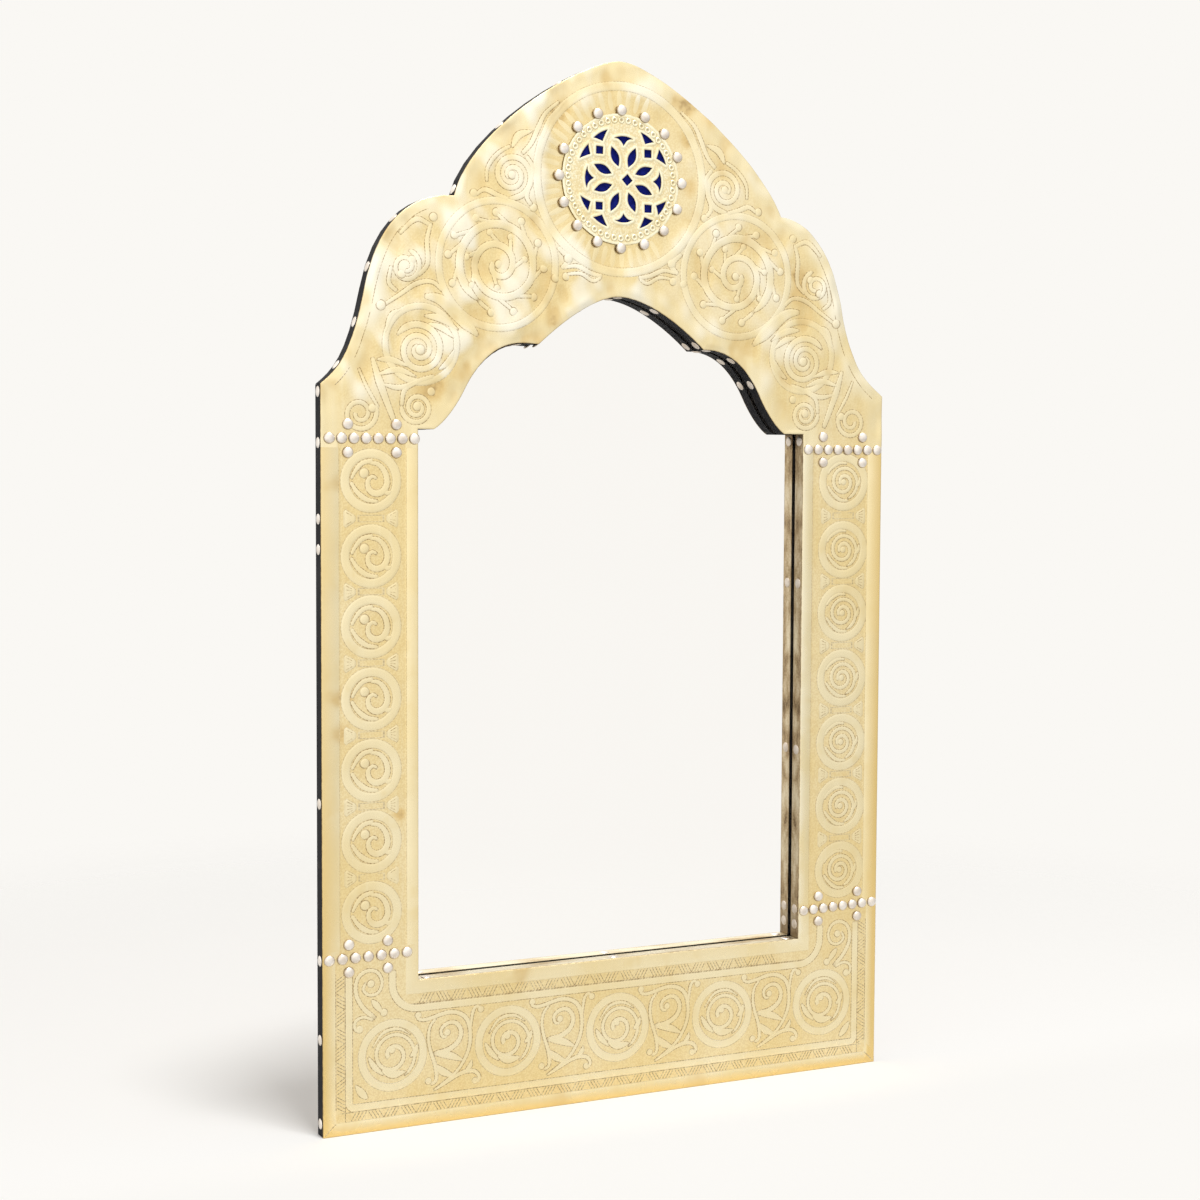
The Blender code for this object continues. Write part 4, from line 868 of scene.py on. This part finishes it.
for side in (-1, 1):
    big = one_side(side, 127, 803)
    parts += [rings(big, 0.0588, 0.0068, 96), rings(one_side(side, 203, 727), 0.0348, 0.0060, 72)]
    for x, z, radii, turns, first, widths, steps in (
            (127, 803, big_scroll, 2.2, 240, (0.0082, 0.0054), 150),
            (113, 886, (21.5, 3.5), -1.9, 260, (0.0056, 0.0044), 80),
            (205, 722, (24.5, 3), 2.1, 150, (0.0062, 0.0042), 90),
            (218, 797, (15, 4), 1.5, 80, (0.0046, 0.0038), 60),
            (207, 669, (15, 3), -1.9, 170, (0.0048, 0.0036), 70),
            (262, 663, (16.5, 4), 1.6, 30, (0.0046, 0.0038), 70)):
        first = first if side < 0 else 180 - first
        radii = 0.001 * np.array(radii)
        parts.append(spirals(one_side(side, x, z), radii, side * turns, first, widths, steps))
    for degrees, turn, reach, radius in ((crook, 0, knob_reach, 3.9), (inner_crook, 1, inner_reach, 3.3)):
        share = np.linspace(0, 1, 7)[:, None]
        away = coil(degrees - 22, turn) * (1 - share) + reach * share
        angle = np.radians(degrees - 22 * (1 - share) ** 1.5)
        stems = np.stack([-np.cos(angle) * away, np.sin(angle) * away], axis=-1).transpose(1, 0, 2)
        parts += [carry(stems * [0.001 * side, 0.001] + big, 0.0040 - 0.0008 * share[:, 0]),
                  bosses(stems[:, -1], radius, side, big)]
    for points, widths in (
            ([(149, 866), (140, 871), (128, 867), (116, 863.5)], (3.2, 5, 3.8)),
            ([(93, 859), (98, 867), (95, 880), (92, 894), (99, 905)], (3.8, 5, 3.8)),
            ([(138, 878), (137, 892), (127, 905), (114, 913)], (2.6, 4.2, 3)),
            ([(103, 906), (94, 916), (87, 930), (79, 945), (64, 958)], (3.8, 5, 2.8)),
            ([(83, 922), (74, 940), (56, 960)], (4.2, 5, 2.6)),
            ([(241, 760), (224, 771), (207, 782), (192, 784), (181, 776)], (3, 4.6, 3.4)),
            ([(200, 771), (184, 768), (166, 754), (146, 736)], (4, 8, 10.5, 12, 12, 3)),
            ([(206, 789), (197, 800), (197, 822), (193, 838)], (3.8, 4.6, 3.4)),
            ([(224, 826), (208, 840), (194, 836)], (3, 5, 3.8)),
            ([(232, 797), (234, 782), (226, 774)], (3, 4.2, 3.4)),
            ([(222, 670), (219, 685), (206, 693), (190, 698)], (3.6, 5, 3.8)),
            ([(250, 714), (243, 691), (229, 656)], (3.4, 7.5, 4.6)),
            ([(263, 704), (255, 686), (244, 668)], (2.4, 3.4, 2.6)),
            ([(66, 822), (55, 811), (62, 802)], (3.8, 6, 3.8)),
            ([(60, 803), (46, 805), (31, 799), (19, 797)], (3, 4.6, 3.4)),
            ([(57, 797), (42, 798), (29, 792), (20, 796)], (2.6, 3.8, 3))):
        parts.append(tendril(points, widths, whole, side))
    for points, width in (
            ([(113, 911), (106, 923), (92, 928)], 7), ([(200, 753), (184, 751), (166, 741)], 7),
            ([(196, 746), (182, 742), (170, 733)], 6), ([(246, 712), (232, 712), (214, 706)], 6),
            ([(246, 698), (226, 703), (207, 697)], 6), ([(242, 690), (224, 687), (209, 693)], 5),
            ([(238, 735), (232, 752), (222, 758)], 5), ([(186, 704), (176, 712), (170, 724)], 6)):
        parts.append(leaf(points, width, whole, side))
    parts.append(bosses([(151, 867), (91, 857.5), (191, 843), (212, 803), (222, 790), (193, 684), (250, 668),
                         (207, 670), (57, 795), (68, 793), (126, 803), (113, 886)], 4.0, side))
    parts.append(bosses([(242, 761), (204, 722), (55, 812)], 4.6, side))
border = crest_outer - beside(crest_outer) * 0.0095
for lobe in (slice(24, 112), slice(-112, -24)):
    parts.append(carry(border[lobe], 0.0009, stroke_section))
chasing("crest_chasing", parts)

# Seam nails
# Dome headed nails, nickel plated and worn to a pearly grey, in a row over each seam with a cross near
# each end. They were set by eye, so the rows lie a few millimetres off the seams and lean a little.
nickel, shader, place = finish("worn nickel", metallic=1.0)
tarnish = place.noise(120.0, 3.0)
wear = place.noise(900.0, 2.0)
grime_and_shade = place.attribute("cut")
# The cut value darkens the nail heads' rims with grime and painted shade, and the tacks in the arch and
# reveals with painted shade.
colour = tarnish.between(0.35, 0.7).blend((0.87, 0.815, 0.75, 1), (0.72, 0.64, 0.55, 1))
feed(shader, {
    "Base Color": (grime_and_shade * 0.85).blend(colour, (0.36, 0.28, 0.19, 1)),
    "Roughness": wear * 0.15 + grime_and_shade * 0.35 + 0.30,
    "Normal": wear.bump(0.12, 0.0002),
})
nail_profile = [(1, 0), (0.985, 0.12), (0.93, 0.27), (0.82, 0.41),
                (0.64, 0.53), (0.42, 0.60), (0.2, 0.635), (0, 0.64)]
# Grime and painted shade darken the rim of each nail head.
nail_rim_grime_and_shade = [1, 0.75, 0.3, 0.05, 0, 0, 0, 0]


def nails(name, tops, radius):
    """Dome heads that end at given top points, all facing the front."""
    facing = forward(len(tops))
    feet = tops - facing * nail_profile[-1][1] * radius
    points, faces, grime_and_shade, _ = domes(feet, facing, radius, nail_profile, 20, nail_rim_grime_and_shade)
    return put(name, points, faces, nickel, slot="nickel", cut=grime_and_shade)


nail_tops = []
for name in ("crest_sheet", "left_stile_sheet", "right_stile_sheet", "bottom_sheet"):
    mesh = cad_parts[name].data
    corners = np.empty(len(mesh.vertices) * 3)
    mesh.vertices.foreach_get("co", corners)
    corners = corners.reshape(-1, 3)
    nail_tops.append(corners[corners[:, 1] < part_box(name)[0].y + 0.00001])
tops = np.unique(np.concatenate(nail_tops).round(5), axis=0)
upper, left = tops[:, 2] > 0, tops[:, 0] < 0
along_row = np.abs(tops[:, 0]) - (half_width + opening_half) / 2
tops[:, 2] += np.select([upper & left, upper, left],
                        [0.0024, -0.0036, -0.0012 - 0.015 * along_row], 0.0016 + 0.03 * along_row)
tops[:, 0] = np.select([upper & left, left], [tops[:, 0] + 0.0022, tops[:, 0] * 0.925 - 0.0214], tops[:, 0])
seam_nail_radius = 0.0053
nails("seam_nails", tops, seam_nail_radius)

# Edge tacks
# Small flat nickel tacks that hold the strips to the boards' edges.
tack_radius = 0.0050
tack_profile = [(1, -0.05), (1, 0.03), (0.86, 0.12), (0.6, 0.19), (0.3, 0.23), (0, 0.24)]


def tacks(name, edge, places, y, inwards, grime_and_shade=0.0):
    """Tacks on an edge: each goes to the edge's nearest point and faces away from the board there."""
    places = np.asarray(places, float) * 0.001
    nearest = np.linalg.norm(edge[None] - places[:, None], axis=-1).argmin(1)
    facing = beside(edge)[nearest] * inwards
    spots = np.stack([edge[nearest, 0], np.full(len(places), y), edge[nearest, 1] + bottom_z], axis=1)
    outward = np.stack([facing[:, 0], np.zeros(len(places)), facing[:, 1]], axis=1)
    points, faces = domes(spots, outward, tack_radius, tack_profile, 16)[:2]
    put(name, points, faces, nickel, slot="nickel", cut=np.full(len(points), grime_and_shade))


strip_low, strip_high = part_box("left_edge_strip")
outer_y = (strip_low.y + strip_high.y) / 2
reveal_low, reveal_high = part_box("left_reveal_strip")
inner_y = (reveal_low.y + reveal_high.y) / 2
edge_heights = [683, 637, 567, 540, 308, 163, 90, 12]
for side, name in ((-1, "left_edge_tacks"), (1, "right_edge_tacks")):
    edge = spaced([(side * half_width, 0), (side * half_width, shoulder[1])], 300)
    tacks(name, edge, [(side * half_width * 1000, height) for height in edge_heights], outer_y, -side)
crest_places = [(62.5, 975), (124, 933), (171, 872), (228.5, 842), (251.5, 795), (264.5, 746), (283, 708)]
crest_places = [(side * x, z) for side in (-1, 1) for x, z in crest_places]
tacks("crest_edge_tacks", crest_outer, crest_places, outer_y, 1)
# Painted shade: the tacks in the arch and in the straight reveals are darkened all over, those in the reveals
# more.
arch_places = [(-126, 720), (-104, 730), (-83, 731), (-40, 764), (1, 778), (40, 765), (85, 733),
               (99, 731), (124, 718), (145, 695)]
tacks("arch_tacks", crest_inner, arch_places, inner_y, -1, 0.35)
reveal_heights = [643, 500, 330, 167, 151]
for side, name in ((-1, "left_reveal_tacks"), (1, "right_reveal_tacks")):
    edge = spaced([(side * opening_half, rail_top), (side * opening_half, ledge_z)], 300)
    tacks(name, edge, [(side * opening_half * 1000, height) for height in reveal_heights], inner_y, side, 0.5)
edge = spaced([(-opening_half, rail_top), (opening_half, rail_top)], 200)
tacks("bottom_reveal_tacks", edge, [(-195, 138), (0, 138), (195, 138)], inner_y, 1)

# Blue felt
# A disc of ultramarine felt in the hole behind the rosette, stretched flat between the disc and the board.
felt_low, felt_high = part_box("rosette_backing")
felt_radius = (felt_high.x - felt_low.x) / 2 - 0.0004
felt_thickness = 0.0005
felt_rows, felt_sides = 16, 72
reach = np.linspace(0, felt_radius, felt_rows + 1)[1:, None]
angle = np.arange(felt_sides) / felt_sides * math.tau
felt_x, felt_z = reach * np.cos(angle), reach * np.sin(angle) + rosette_z
felt_y = felt_low.y + 0.0001 + 0.00006 * np.sin(felt_x * 900) * np.sin(felt_z * 1100)
grid = np.stack([felt_x, felt_y, felt_z + bottom_z], axis=-1).reshape(-1, 3)
points = np.concatenate([grid, [(0, felt_y.mean(), rosette_z + bottom_z)]])
index = np.arange(felt_rows * felt_sides).reshape(felt_rows, felt_sides)
after = np.roll(index, -1, axis=1)
quads = np.stack([index[:-1], index[1:], after[1:], after[:-1]], axis=-1).reshape(-1, 4)
caps = np.stack([np.full(felt_sides, len(grid)), index[0], after[0]], axis=1)
felt, shader, place = finish("ultramarine felt", roughness=0.95)
shader.inputs["Specular IOR Level"].default_value = 0.05
fuzz = place.noise(1600.0, 3.0)
tufts = place.noise(260.0, 2.0)
nap = (tufts * 0.6 + fuzz * 0.4).between(0.3, 0.75)
feed(shader, {
    "Base Color": nap.blend((0.006, 0.010, 0.15, 1), (0.015, 0.025, 0.29, 1)),
    "Normal": fuzz.bump(0.4, 0.0003),
})
felt_disc = put("felt_disc", points, [quads, caps], felt, slot="blue_felt")
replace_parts(felt_disc, "rosette_backing")
thicken = felt_disc.modifiers.new("thickness", "SOLIDIFY")
thicken.thickness = felt_thickness
thicken.offset = -1

# Rosette
# A disc of heavier brass, sawn through by hand: eight petals round a diamond, squares, curved corners and
# thorns. The metal between them is worked up into rounded ribs over a stippled ground, and a row of ring
# punches runs round the rim.
pale, shader, place = finish("pale brass", metallic=1.0)
cut, plain = place.attribute("cut"), place.attribute("plain")
bloom = place.noise(75.0, 4.0)
grit = place.noise(600.0, 3.0)
pits = place.node("TexVoronoi", {"feature": "F1"}, {"Vector": place, "Scale": 520.0}, "Distance")
stippled = 1 - plain
colour = bloom.between(0.40, 0.72).blend((0.98, 0.935, 0.70, 1), (0.93, 0.835, 0.545, 1))
colour = (stippled * (pits.between(0.30, 0.60) * 0.4 + 0.15)).blend(colour, (0.73, 0.55, 0.24, 1))
colour = (grit.between(0.55, 0.75) * 0.3).blend(colour, (0.76, 0.60, 0.30, 1))
# The cut value paints shade on the piercings' walls and grime in the ring punches.
colour = (cut * 0.8).blend(colour, (0.36, 0.24, 0.09, 1))
feed(shader, {
    "Base Color": colour,
    "Roughness": bloom * 0.2 + stippled * 0.1 + cut * 0.3 + 0.20,
    "Normal": (pits * stippled * 0.8 + bloom * 0.6 + grit * 0.2).bump(0.3, 0.0004),
})
disc_radius = (rosette_high.x - rosette_low.x) / 2
disc_back = rosette_high.y
disc_front = disc_back - 0.0008
piercing_shift = 0.040 * disc_radius


def polar(share, degrees):
    """Points round the piercing's middle, at shares of the disc's radius and clockwise from straight up."""
    angle, radius = np.radians(degrees), share * disc_radius
    return np.stack([piercing_shift + radius * np.sin(angle), rosette_z + radius * np.cos(angle)], axis=-1)


def petal(degrees):
    """Almond along a radius: its half width swells as a half sine between the tips."""
    share = np.append(np.linspace(0, 1, 15)[:-1], np.linspace(1, 0, 15)[:-1])
    reach = 0.210 + 0.326 * share
    swell = np.repeat([1, -1], 14) * 0.066 * np.sin(math.pi * share)
    return polar(reach, degrees + np.degrees(swell / reach))


def tricorn(degrees):
    """Curved triangle: an arc outside, and two hollow sides that meet in a tip towards the middle."""
    turn = np.linspace(-1, 1, 13)
    arc = polar(0.660 - 0.019 * turn ** 2, degrees + 14.5 * turn)
    share = np.linspace(0, 1, 9)[1:]
    fall = polar(0.641 - 0.126 * share ** 1.5, degrees + 14.5 * (1 - share ** 0.75))
    rise = polar(0.641 - 0.126 * share ** 1.5, degrees - 14.5 * (1 - share ** 0.75))[::-1]
    return np.concatenate([arc, fall, rise[1:]])


def thorn(degrees, side):
    """Pointed triangle beside a diagonal, with its outer side bowed out and the next one hollow."""
    at = np.linspace(0, 3, 22)[:-1]
    bow = np.array([0.005, -0.006, 0.0])[at.astype(int)] * np.sin(math.pi * (at % 1))
    reach = np.interp(at, range(4), [0.790, 0.790, 0.668, 0.790]) + bow
    return polar(reach, degrees + side * np.interp(at, range(4), [4.5, 24, 12, 4.5]))


quarters = np.arange(4) * 90
square = np.array([(-1, -1), (1, -1), (1, 1), (-1, 1)]) * 0.060 * disc_radius
diamond = np.array([(0, -1), (1, 0), (0, 1), (-1, 0)]) * 0.094 * disc_radius
openings = [petal(22.5 + 45 * turn) for turn in range(8)] + [polar(0.057, 90) + diamond]
openings += [tricorn(turn) for turn in quarters] + [polar(0.591, turn + 45) + square for turn in quarters]
openings += [thorn(turn + 45, side) for turn in quarters for side in (1, -1)]
areas = [np.sum(loop[:, 0] * np.roll(loop[:, 1], -1) - np.roll(loop[:, 0], -1) * loop[:, 1])
         for loop in openings]
openings = [loop if area > 0 else loop[::-1] for loop, area in zip(openings, areas)]
sawing = np.random.default_rng(7)
for number, loop in enumerate(openings):
    middle = loop.mean(axis=0)
    turn, size = sawing.normal(0, 0.035), sawing.normal(1, 0.03)
    spin = size * np.array([(math.cos(turn), -math.sin(turn)), (math.sin(turn), math.cos(turn))])
    openings[number] = middle + (loop - middle) @ spin.T + sawing.normal(0, 0.0003, 2)
rim_angle = np.arange(150) / 150 * math.tau
rim = np.stack([disc_radius * np.cos(rim_angle), rosette_z + disc_radius * np.sin(rim_angle)], axis=1)
loops = [rim] + openings
grid = np.stack(np.meshgrid(*[np.arange(-disc_radius, disc_radius, 0.0009)] * 2), axis=-1).reshape(-1, 2)
edges = [spaced(np.append(loop, loop[:1], axis=0), int(len(loop) * 6 + 60)) for loop in loops]
grid += [0, rosette_z]


def clearance(plan):
    """Distance from points to the nearest edge of the disc or of an opening."""
    return np.min([np.linalg.norm(plan[:, None] - edge, axis=-1).min(axis=1) for edge in edges], axis=0)


inside = np.hypot(grid[:, 0], grid[:, 1] - rosette_z) < disc_radius
grid = grid[inside]
grid = grid[clearance(grid) > 0.0004]
starts = np.cumsum([0] + [len(loop) for loop in loops])
corners = [Vector(corner) for corner in np.concatenate(loops + [grid])]
outlines = [list(range(start, start + len(loop))) for start, loop in zip(starts, loops)]
flat, _, triangles, _, _, owners = delaunay_2d_cdt(corners, [], outlines, 1, 0.000001)
solid = np.array([triangle for triangle, owner in zip(triangles, owners) if owner == [0]])
used, solid = np.unique(solid, return_inverse=True)
solid = solid.reshape(-1, 3)
plan = np.array(flat)[used]
free = clearance(plan)
rib = 0.00030 + 0.00036 * np.sin(np.clip(free / 0.0009, 0, 1) * math.pi / 2)
rib *= 1 - 0.75 * ease(free, 0.0018, 0.0030)
rib *= 1 - ease(np.hypot(plan[:, 0], plan[:, 1] - rosette_z), 0.050, 0.053) * 0.6
front, back = (np.stack([plan[:, 0], depth, plan[:, 1] + bottom_z], axis=1)
               for depth in (disc_front - rib, np.full(len(plan), disc_back)))
sides = np.concatenate([solid[:, [0, 1]], solid[:, [1, 2]], solid[:, [2, 0]]])
key = sides[:, 0] * len(plan) + sides[:, 1]
border = sides[~np.isin(key, sides[:, 1] * len(plan) + sides[:, 0])]
walls = np.concatenate([border[:, ::-1], border + len(plan)], axis=1)
smooth_rib = np.append(1 - ease(free, 0.0018, 0.0028), np.ones(len(plan)))
# Painted shade: the piercings' walls and the disc's rim are darkened, from half at the front edge to full at
# the back.
wall_shade = np.append(np.where(free < 0.0001, 0.5, 0), np.ones(len(plan)))
faces = [solid, solid[:, ::-1] + len(plan), walls]
disc = put("rosette_disc", np.concatenate([front, back]), faces, pale, slot="pale_brass",
           plain=smooth_rib, cut=wall_shade)
disc.data.set_sharp_from_angle(angle=math.radians(50))
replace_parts(disc, "rosette")

punch_count, punch_reach, punch_radius = 48, 0.0558, 0.0033
angle = np.arange(punch_count) / punch_count * math.tau
spots = np.stack([punch_reach * np.cos(angle), np.full(punch_count, disc_front - 0.0001),
                  rosette_z + bottom_z + punch_reach * np.sin(angle)], axis=1)
punch_profile = [(1, -0.1), (1, 0.04), (0.85, 0.17), (0.66, 0.20), (0.45, 0.13), (0.3, 0.03), (0, 0.01)]
punch_grime = [0.7, 0.7, 0, 0, 0.4, 0.8, 0.7]
punched = domes(spots, forward(punch_count), punch_radius, punch_profile, 14, punch_grime)
chasing("rosette_punches", [punched], pale, "pale_brass")

# Rosette nails
# Sixteen nails like those of the seams, driven round the disc so that their heads clamp its rim.
nail_names = [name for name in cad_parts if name.startswith("rosette_nail")]
nail_boxes = [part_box(name) for name in nail_names]
tops = np.array([((low.x + high.x) / 2, low.y, (low.z + high.z) / 2) for low, high in nail_boxes])
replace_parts(nails("rosette_nails", tops, (nail_boxes[0][1].x - nail_boxes[0][0].x) / 2), *nail_names)

# Stage
# A pale floor that fades into the white backdrop, one soft lamp above in front and the photograph's camera.
# Polished glass and the camera see the plain backdrop; the satin metal sees it shaded from the upper left.
floor_reach = 2.2
floor_mesh = bpy.data.meshes.new("floor")
floor_corners = [(-floor_reach, -floor_reach, bottom_z), (floor_reach, -floor_reach, bottom_z),
                 (floor_reach, floor_reach, bottom_z), (-floor_reach, floor_reach, bottom_z)]
floor_mesh.from_pydata(floor_corners, [], [(0, 1, 2, 3)])
floor = bpy.data.objects.new("floor", floor_mesh)
bpy.context.scene.collection.objects.link(floor)
backdrop_colour = (0.956, 0.938, 0.904, 1)
paper, shader, place = finish("pale floor", roughness=0.9)
shader.inputs["Base Color"].default_value = (0.93, 0.92, 0.90, 1)
distance = place.node("VectorMath", {"operation": "LENGTH"}, {0: place}, "Value")
clear = place.node("BsdfTransparent")
glow = place.node("Emission", None, {"Color": backdrop_colour, "Strength": 1.0})
ahead = place.axis("Y").between(-0.02, -0.16)
rays = [place.node("LightPath", output=name) for name in ("Is Camera Ray", "Is Glossy Ray")]
seen = (rays[0] + rays[1]) * (ahead * 0.70 + 0.20)
lit = place.node("MixShader", None, {0: seen, 1: Sock(paper.node_tree, shader.outputs[0]), 2: glow})
surface = place.node("MixShader", None, {0: distance.between(0.9, 1.7), 1: lit, 2: clear})
paper.node_tree.links.new(surface.out, paper.node_tree.nodes["Material Output"].inputs["Surface"])
floor_mesh.materials.append(paper)

world = bpy.data.worlds.new("studio")
world.use_nodes = True
bpy.context.scene.world = world
sky = Sock(world.node_tree)
rays = [sky.node("LightPath", output=name)
        for name in ("Is Camera Ray", "Is Transmission Ray", "Is Singular Ray")]
plainly = sky.math("MINIMUM", rays[0] + rays[1] + rays[2], 1.0)
towards = sky.node("TexCoord", output="Generated")
lean = sky.node("VectorMath", {"operation": "DOT_PRODUCT"}, {0: towards, 1: (-0.54, -0.26, 0.80)}, "Value")
backdrop = sky.node("Background", None, {"Color": backdrop_colour, "Strength": 1.0})
dim, bright = (sky.node("Background", None, {"Color": (1, 0.985, 0.955, 1), "Strength": level})
               for level in (0.72, 1.32))
shaded = sky.node("MixShader", None, {0: lean.between(-0.6, 0.6), 1: dim, 2: bright})
fill = sky.node("Background", None, {"Color": (1, 0.985, 0.96, 1), "Strength": 0.48})
metal = sky.node("MixShader", None, {0: sky.node("LightPath", output="Is Glossy Ray"), 1: fill, 2: shaded})
sky_mix = sky.node("MixShader", None, {0: plainly, 1: metal, 2: backdrop})
world.node_tree.links.new(sky_mix.out, world.node_tree.nodes["World Output"].inputs["Surface"])


def softbox(name, place, aim, size, power):
    """A square area lamp turned towards a point."""
    data = bpy.data.lights.new(name, "AREA")
    data.size = size
    data.energy = power
    lamp = bpy.data.objects.new(name, data)
    lamp.location = place
    lamp.rotation_euler = (Vector(aim) - Vector(place)).to_track_quat("-Z", "Y").to_euler()
    bpy.context.scene.collection.objects.link(lamp)


softbox("key", (0.12, -1.45, 5.0), (0, 0, 0), 1.2, 195)

camera_data = bpy.data.cameras.new("camera")
camera_data.lens = 62.51
camera_data.sensor_width = 36
camera = bpy.data.objects.new("camera", camera_data)
camera.location = (-0.888, sheet_front - 1.798, bottom_z + 0.6095)
camera.rotation_euler = [math.radians(angle) for angle in (90 - 3.474, -0.257, -25.756)]
bpy.context.scene.collection.objects.link(camera)
bpy.context.scene.camera = camera
bpy.context.scene.view_settings.view_transform = "Standard"
